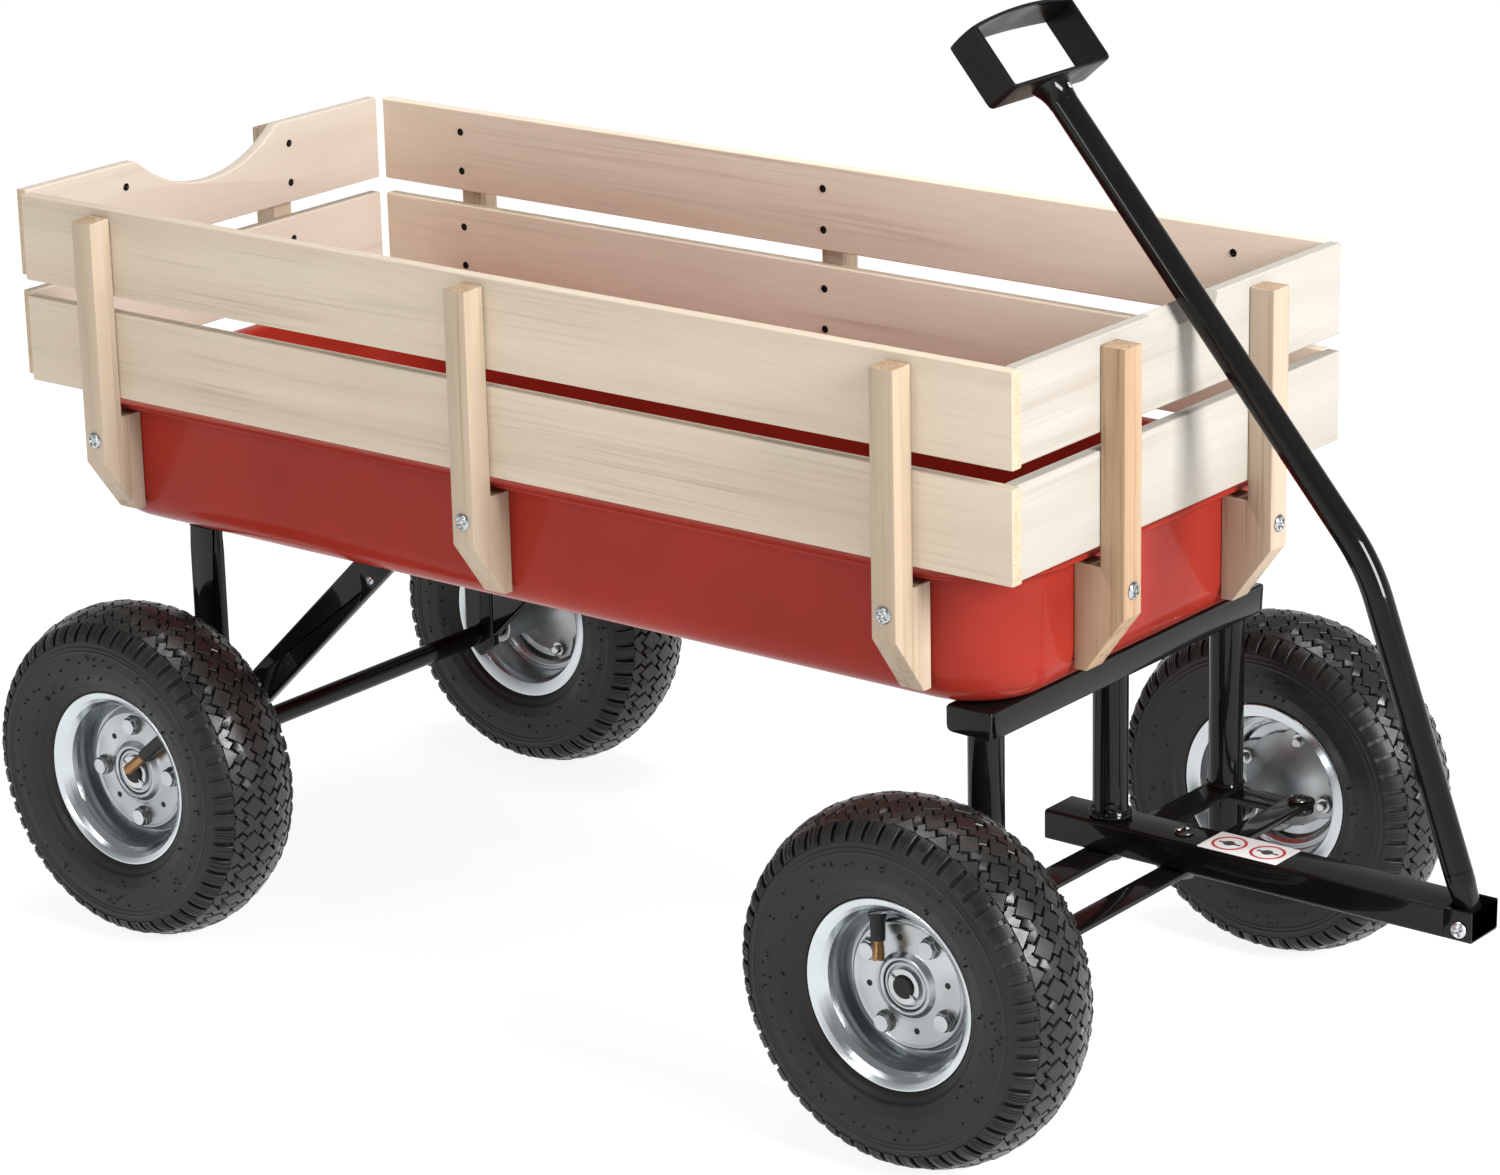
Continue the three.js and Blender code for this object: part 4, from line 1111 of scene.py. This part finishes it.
# ---------- tyres ----------
TYRE_RADIUS = 130.0
CROWN_HALF = 30.0
CROWN_DROP = 8.0
TREAD_DEPTH = 4.0
TREAD_REPEATS = 28
TREAD_STEP = pi * TYRE_RADIUS / TREAD_REPEATS
TREAD_EDGE = 29.6
DIAMOND_HALF = 8.9
ARM_HALF_WIDTH = 2.75
ARM_JOG = 0.95
ARM_JOG_START = 5.4
NIBS_PER_SIDE = 110
CARCASS_HALF = [
    (68.2, 27.0), (68.2, 30.5), (70.5, 33.0), (74.0, 34.8), (76.0, 37.0), (84.0, 40.0),
    (94.0, 41.2), (101.0, 40.9), (102.4, 41.7), (103.8, 40.6), (105.2, 41.6), (106.6, 40.5),
    (109.6, 40.6), (111.6, 38.2), (114.6, 35.2), (117.0, 32.0), (118.3, 29.3),
]
SHOULDER_TRACK = [(121.4, 30.0), (119.5, 33.5), (116.5, 36.9), (113.1, 39.4), (110.0, 40.8)]


def crown_radius(offset):
    return TYRE_RADIUS - CROWN_DROP * (offset / CROWN_HALF) ** 2


def tread_point(turn, offset, lift):
    """Point on the crown: turn in radians, offset across, lift above the worn surface."""
    radius = crown_radius(offset) - TREAD_DEPTH + lift
    return (radius * cos(turn), offset, radius * sin(turn))


def clipped(outline, limit):
    """The part of an outline that lies between -limit and limit across the tread."""
    for sign in (1, -1):
        result = []
        for index, here in enumerate(outline):
            before = outline[index - 1]
            inside, was_inside = sign * here[1] <= limit, sign * before[1] <= limit
            if inside != was_inside:
                share = (sign * limit - before[1]) / (here[1] - before[1])
                result.append((before[0] + (here[0] - before[0]) * share, sign * limit))
            if inside:
                result.append(here)
        outline = result
    return outline


def cross_outline():
    """Four jogged arms that run in the lanes between the diamonds."""
    reach = TREAD_STEP / sqrt(2) - 0.7
    w, j, jog = ARM_HALF_WIDTH, ARM_JOG, ARM_JOG_START
    arm = [(w, -w), (jog, -w), (jog, j - w), (reach, j - w)]
    arm += [(reach, j + w), (jog, j + w), (jog, w)]
    outline = []
    for quarter in range(4):
        angle = radians(45 + 90 * quarter)
        c, s = cos(angle), sin(angle)
        outline += [(u * c - v * s, u * s + v * c) for u, v in arm]
    return outline


def tread_block(shape, along, across, lift):
    """Raised block at a place on the crown, clipped at the tread's edge, with a fanned top."""
    rings = []
    for shrink, level in ((1.05, -0.5), (1.0, lift - 0.5), (0.94, lift)):
        outline = [(a * shrink, across + b * shrink) for a, b in shape]
        outline = clipped(outline, TREAD_EDGE - (0.4 if level == lift else 0))
        rings.append([tread_point((along + a) / TYRE_RADIUS, b, level) for a, b in outline])
    verts, faces = loft(rings, caps=False)
    size = len(rings[0])
    start = len(verts) - size
    verts.append(tread_point(along / TYRE_RADIUS, across, lift))
    faces += [[start + i, start + (i + 1) % size, len(verts) - 1] for i in range(size)]
    return verts, faces


def carcass_profile():
    """Tyre surface from the inner bead over the crown to the outer bead, as (radius, offset)."""
    crown = [(crown_radius(w) - TREAD_DEPTH, w) for w in (28, 24, 18, 12, 6, 0)]
    outer = fillet(CARCASS_HALF, 1.8, 3) + crown
    return [(r, -w) for r, w in outer] + [(r, w) for r, w in outer[::-1][1:]]


def shoulder_pad(turn, half_turn, sign, base, lift):
    """Pad over the shoulder from the tread's edge to the sidewall, from base up to lift."""
    rings = []
    last = len(SHOULDER_TRACK) - 1
    for index, (radius, offset) in enumerate(SHOULDER_TRACK):
        before, after = SHOULDER_TRACK[max(index - 1, 0)], SHOULDER_TRACK[min(index + 1, last)]
        along = Vector((after[0] - before[0], after[1] - before[1])).normalized()
        normal = Vector((-along.y, along.x))
        if normal.y < 0:
            normal = -normal
        top = 0.1 if index == last else lift
        rim = [(-1, base), (-1, top - 0.3), (-0.93, top), (0.93, top), (1, top - 0.3), (1, base)]
        ring = []
        for share, reach in rim:
            r = radius + normal.x * reach
            a = turn + share * half_turn
            ring.append((r * cos(a), sign * (offset + normal.y * reach), r * sin(a)))
        rings.append(ring)
    return loft(rings)


def tyre_mesh():
    """Carcass, tread of diamonds and crosses, ribbed shoulder pads and moulding nibs."""
    chance = random.Random(23)
    solid = Solid().add(spin(carcass_profile(), 168, "y", True))
    diamond = [(DIAMOND_HALF, 0), (0, DIAMOND_HALF), (-DIAMOND_HALF, 0), (0, -DIAMOND_HALF)]
    blocks = ((cross_outline(), TREAD_DEPTH - 0.5), (diamond, TREAD_DEPTH))
    for row in (-2, -1, 0, 1, 2):
        for step in range(2 * TREAD_REPEATS):
            shape, lift = blocks[(row + step) % 2]
            solid.add(tread_block(shape, step * TREAD_STEP, row * TREAD_STEP, lift), slot=1)
    pitch = TREAD_STEP / TYRE_RADIUS
    for sign in (1, -1):
        for step in range(2 * TREAD_REPEATS):
            middle = (step + 0.5) * pitch
            half = pitch * chance.uniform(0.35, 0.39)
            solid.add(shoulder_pad(middle, half, sign, -4.2, chance.uniform(0.2, 0.7)))
            for part in (-1, 0, 1):
                if chance.random() < 0.75:
                    turn = middle + part * pitch * 0.16
                    lift = chance.uniform(0.75, 1.0)
                    solid.add(shoulder_pad(turn, pitch * 0.05, sign, -0.6, lift))
        for _ in range(NIBS_PER_SIDE):
            turn = chance.uniform(0, 2 * pi)
            radius = chance.uniform(79, 99)
            level = 41.0 if radius > 90 else 39.2
            place = (radius * cos(turn), sign * level, radius * sin(turn))
            nib = spin([(0.9, -1.6), (0.8, 1.3), (0, 1.6)], 6, "z")
            solid.add(nib, facing(place, (0, sign, 0)))
    return solid.mesh("tyre_tread", [TYRE, TREAD], 38)


# ---------- wheels ----------
# inside this radius the rim is drawn in the darker zinc: painted shade in the well and on the disc
RIM_SHADE_RADIUS = 56.3
RIM_SECTION = [
    (62.5, 29.4), (66.8, 31.6), (68.2, 30.6), (67.6, 28.8), (63.4, 26.8), (61.0, 23.6),
    (58.0, 20.0), (56.6, 12.0), (56.6, -12.0), (58.0, -20.0), (61.0, -23.6), (63.4, -26.8),
    (67.6, -28.8), (68.2, -30.6), (66.8, -31.6), (57.5, -28.0), (54.8, -22.0), (53.4, -12.0),
    (52.4, -3.0), (48.6, -3.6), (45.0, -1.0), (43.6, 5.4), (19.0, 5.4), (17.8, 7.0),
    (17.8, 11.6), (18.6, 12.6), (20.4, 12.2), (23.4, 8.4), (27.0, 7.8), (42.4, 7.8),
    (44.8, 8.7), (46.6, 7.2), (47.2, 2.0), (49.6, -0.6), (52.4, 1.2), (53.9, 8.0),
    (54.6, 19.0), (56.2, 22.6), (59.4, 26.8),
]
HUB_SECTION = [
    (8.7, -59.5), (12.2, -60), (13, -59), (13, -26), (14, -16), (18, -8), (26, -1.5),
    (33, 1.2), (36, 2.2), (36, 4.6), (17.2, 4.6), (17.2, 10.6), (16.4, 11.4), (14.8, 11.4),
    (14.4, 9.6), (12.4, 9.6), (12.0, 11.6), (9.2, 11.6), (8.7, 11.0),
]
BOLT_CIRCLE = 36.0
HOLE_CIRCLE = 33.0
HOLE_TURN = 43
DISC_FACE = 7.8
AXLE_FACE = 12.2
AXLE_END = 15.5
# turn of the wheel bolts, turn of the valve, and how far out the valve's tip is
WHEEL_STATIONS = {
    ("front", "right"): (58.5, 113.0, 23.0),
    ("rear", "right"): (4.0, 44.0, 6.0),
    ("front", "left"): (70.0, 200.0, 23.0),
    ("rear", "left"): (25.0, 250.0, 23.0),
}


def around(turn, radius):
    return Vector((cos(radians(turn)), 0, sin(radians(turn)))) * radius


def outward(profile, sign):
    """A section drawn for the left wheels, turned to the side that sign says."""
    return [(radius, offset * sign) for radius, offset in profile]


def rim_mesh():
    """Two-piece pressed rim: rolled lips, deep well, dished disc with a raised centre."""
    solid = Solid().add(spin(fillet(RIM_SECTION, 1.2, 3, True), 112, "y", True))
    # the well and disc take the darker zinc as painted shade; the lip keeps the bright zinc
    for index, face in enumerate(solid.faces):
        reach = max(hypot(solid.verts[v].x, solid.verts[v].z) for v in face)
        solid.slots[index] = 0 if reach > RIM_SHADE_RADIUS else 1
    return solid.mesh("rim_pressing", [RIM_ZINC, WELL_SHADE_ZINC], 30)


def add_hub_parts(solid, sign, bolt_angle):
    """One wheel's lobed flange, bolts, nuts, and holes drawn as dark discs of painted shade, about
    its centre; sign is outward.
    """
    lobes = []
    for angle in full_turn(96):
        swell = 0.5 + 0.5 * cos(4 * (angle - radians(bolt_angle)))
        lobes.append(polar(33 + 13 * swell**1.4, angle))
    solid.add(plate(lobes, *sorted((sign * 2.2, sign * 4.9)), "y", 0.8))
    out = Vector((0, sign, 0))
    for index in range(4):
        turn = bolt_angle + 90 * index
        spot = around(turn, BOLT_CIRCLE)
        behind = facing(spot + out * 2.4, -out)
        # dark steel washer, a little wider than the head: a real washer, whose thin dark rim round
        # each bolt head is also painted shade
        washer = [(7.6, 0), (7.6, 0.8), (7.0, 1.2), (0, 1.2)]
        solid.add(spin(washer, 28, "z"), facing(spot + out * DISC_FACE, out), 3)
        solid.add(hex_head(7.0, 5.6), facing(spot + out * 8.9, out), 2)
        solid.add(hex_head(6.5, 5.0), behind, 2)
        solid.add(spin([(3.6, 0), (3.6, 9.2), (2.8, 9.8), (0, 9.8)], 20, "z"), behind, 2)
        # each hole is a flat near-black disc on both faces of the wheel disc: painted shade
        # standing in for the opening
        hole = around(turn + HOLE_TURN, HOLE_CIRCLE)
        for radius, place in (
            (2.3, facing(hole + out * DISC_FACE, out)), (3.2, facing(hole + out * 2.2, -out))
        ):
            solid.add(spin([(radius, -0.2), (radius, 0.12), (0, 0.12)], 20, "z"), place, 1)


def add_wheel(station, side, sign, tyre, rim):
    prefix = f"{station}_{side}"
    body = f"{prefix}_wheel"
    centre = centre_mm(f"{prefix}_tyre")
    bolt_angle, valve_angle, valve_reach = WHEEL_STATIONS[(station, side)]
    turned = Matrix.Translation(centre * MM) @ Matrix.Rotation(0 if sign > 0 else pi, 4, "Z")
    spin_by = Matrix.Rotation(radians(90 * round(bolt_angle / 90)), 4, "Y")
    show(tyre, body, [f"{prefix}_tyre"], turned @ spin_by, f"{prefix}_tyre_tread")
    show(rim, body, [f"{prefix}_rim"], turned, f"{prefix}_rim_pressing")

    hub = Solid().add(spin(outward(HUB_SECTION, sign), 64, "y", True))
    add_hub_parts(hub, sign, bolt_angle)
    for vert in hub.verts:
        vert += centre
    materials = [HUB_ZINC, HOLE_SHADE_AND_BLACK, BOLT_ZINC, DARK_STEEL]
    hub.show(f"{prefix}_hub_fine", materials, 32, body, "wheel_steel", f"{prefix}_hub")
    add_valve(prefix, body, centre, sign, valve_angle, valve_reach)
    add_axle_end(prefix, f"knuckle_{side}" if station == "front" else "chassis", sign, centre)


def add_valve(prefix, body, centre, sign, angle, reach):
    """Rubber stem leaning outwards from the well towards the hub, with a brass tip."""
    root = centre + around(angle, 52) + Vector((0, sign * 14, 0))
    tip = centre + around(angle + 12, reach) + Vector((0, sign * 23, 0))
    length = (tip - root).length
    neck = length * 0.58
    stem = [(0, 0), (6.4, 0), (6.0, 2.0), (5.3, 4.0), (5.0, neck - 1), (4.4, neck), (0, neck)]
    brass = [(0, neck - 3), (3.7, neck - 3), (3.7, length * 0.66), (4.1, length * 0.68)]
    brass += [(4.1, length - 0.8), (3.3, length), (0, length)]
    solid = Solid().add(spin(stem, 28, "z"), facing(root, tip - root))
    solid.add(spin(brass, 28, "z"), facing(root, tip - root), 1)
    materials = [STEM_RUBBER, BRASS]
    node = f"{prefix}_valve_stem"
    solid.show(f"{prefix}_valve_fine", materials, 35, body, "valve_rubber", node)


def add_axle_end(prefix, body, sign, centre):
    """Black axle end with its washer and split pin, outside the hub."""
    face, end = AXLE_FACE, AXLE_END
    washer = fillet(rectangle(8.4, face, 12.6, face + 1.3), 0.3, 2, True)
    solid = Solid().add(spin(outward(washer, sign), 40, "y", True), slot=1)
    cap = [(0, face - 1), (8.1, face - 1), (8.1, end - 1.2), (7.0, end), (0, end)]
    solid.add(spin(outward(cap, sign), 40))
    lean = Vector((0.82, 0, -0.57))
    pin = [lean * s + Vector((0, sign * (end - 1.4), 0)) for s in (-12.5, -6, 0, 6, 12.5)]
    solid.add(sweep(pin, circle(1.0, 12), ACROSS), slot=1)
    for vert in solid.verts:
        vert += centre
    solid.show(f"{prefix}_axle_end", [HOLE_SHADE_AND_BLACK, BOLT_ZINC], 35, body, "zinc")


# ---------- room and light ----------
FLOOR_REACH = 14.0
SKY_FADE = {"From Min": 0.0, "From Max": 0.42, "To Min": 0.93, "To Max": 0.27}
# name: place, target, (width, height) and watts
LIGHTS = {
    "key": ((3.4, -0.35, 1.9), (0.2, 0, 0.35), (1.1, 1.5), 174),
    "fill": ((-0.4, -3.2, 2.9), (0, 0, 0.4), (2.4, 0.35), 17),
    "strip": ((-0.5, -3.0, 1.0), (0.1, 0, 0.55), (0.15, 1.4), 10),
    "top": ((-0.2, 0.3, 3.2), (0, 0, 0.3), (1.6, 1.0), 52),
}


def add_floor():
    grey = (0.25, 0.25, 0.25)
    shader = Shader("floor_white", grey, 0.9, Specular_IOR_Level=0.0, Emission_Strength=0.88)
    shader.bsdf.inputs["Emission Color"].default_value = (1, 1, 1, 1)
    mesh = bpy.data.meshes.new("floor")
    corners = rectangle(-FLOOR_REACH, -FLOOR_REACH, FLOOR_REACH, FLOOR_REACH)
    mesh.from_pydata([(x, y, 0) for x, y in corners], [], [(0, 1, 2, 3)])
    mesh.materials.append(shader.material)
    floor = bpy.data.objects.new("floor", mesh)
    bpy.context.scene.collection.objects.link(floor)


def add_light(name, place, target, size, energy):
    data = bpy.data.lights.new(name, "AREA")
    data.shape = "RECTANGLE"
    data.size, data.size_y = size
    data.energy = energy
    light = bpy.data.objects.new(name, data)
    turn = (Vector(target) - Vector(place)).to_track_quat("-Z", "Y").to_matrix().to_4x4()
    light.matrix_world = Matrix.Translation(place) @ turn
    bpy.context.scene.collection.objects.link(light)


def add_world():
    """White surroundings that are bright at the horizon and fade with height."""
    world = bpy.data.worlds.new("studio")
    world.use_nodes = True
    tree = world.node_tree
    direction = add_node(tree, "TexCoord").outputs["Generated"]
    height = add_node(tree, "SeparateXYZ", {0: direction}).outputs["Z"]
    inputs = {"Value": height, **SKY_FADE}
    fade = add_node(tree, "MapRange", inputs, interpolation_type="SMOOTHSTEP").outputs["Result"]
    background = tree.nodes["Background"]
    background.inputs["Color"].default_value = (1, 1, 1, 1)
    tree.links.new(fade, background.inputs["Strength"])
    bpy.context.scene.world = world
    bpy.context.scene.view_settings.view_transform = "Standard"


add_camera()
add_floor()
add_world()
for light_name, light_settings in LIGHTS.items():
    add_light(light_name, *light_settings)
add_boards()
add_stakes()
add_board_screws()
add_tray()
add_crossbeam()
add_rear_strap()
add_front_legs()
add_king_post()
add_flat_bar("lower_cross_bar", "chassis")
add_flat_bar("tie_rod", "tie_rod")
add_tongue()
add_tongue_bolts()
add_label()
add_knuckles()
add_king_bolt()
for leg_side, leg_sign in SIDES:
    add_rear_leg(leg_side, leg_sign)
    add_rear_brace(leg_side, leg_sign)
add_rear_axle()
add_handle()
TYRE_MESH = tyre_mesh()
RIM_MESH = rim_mesh()
for wheel_station in ("front", "rear"):
    for wheel_side, wheel_sign in SIDES:
        add_wheel(wheel_station, wheel_side, wheel_sign, TYRE_MESH, RIM_MESH)
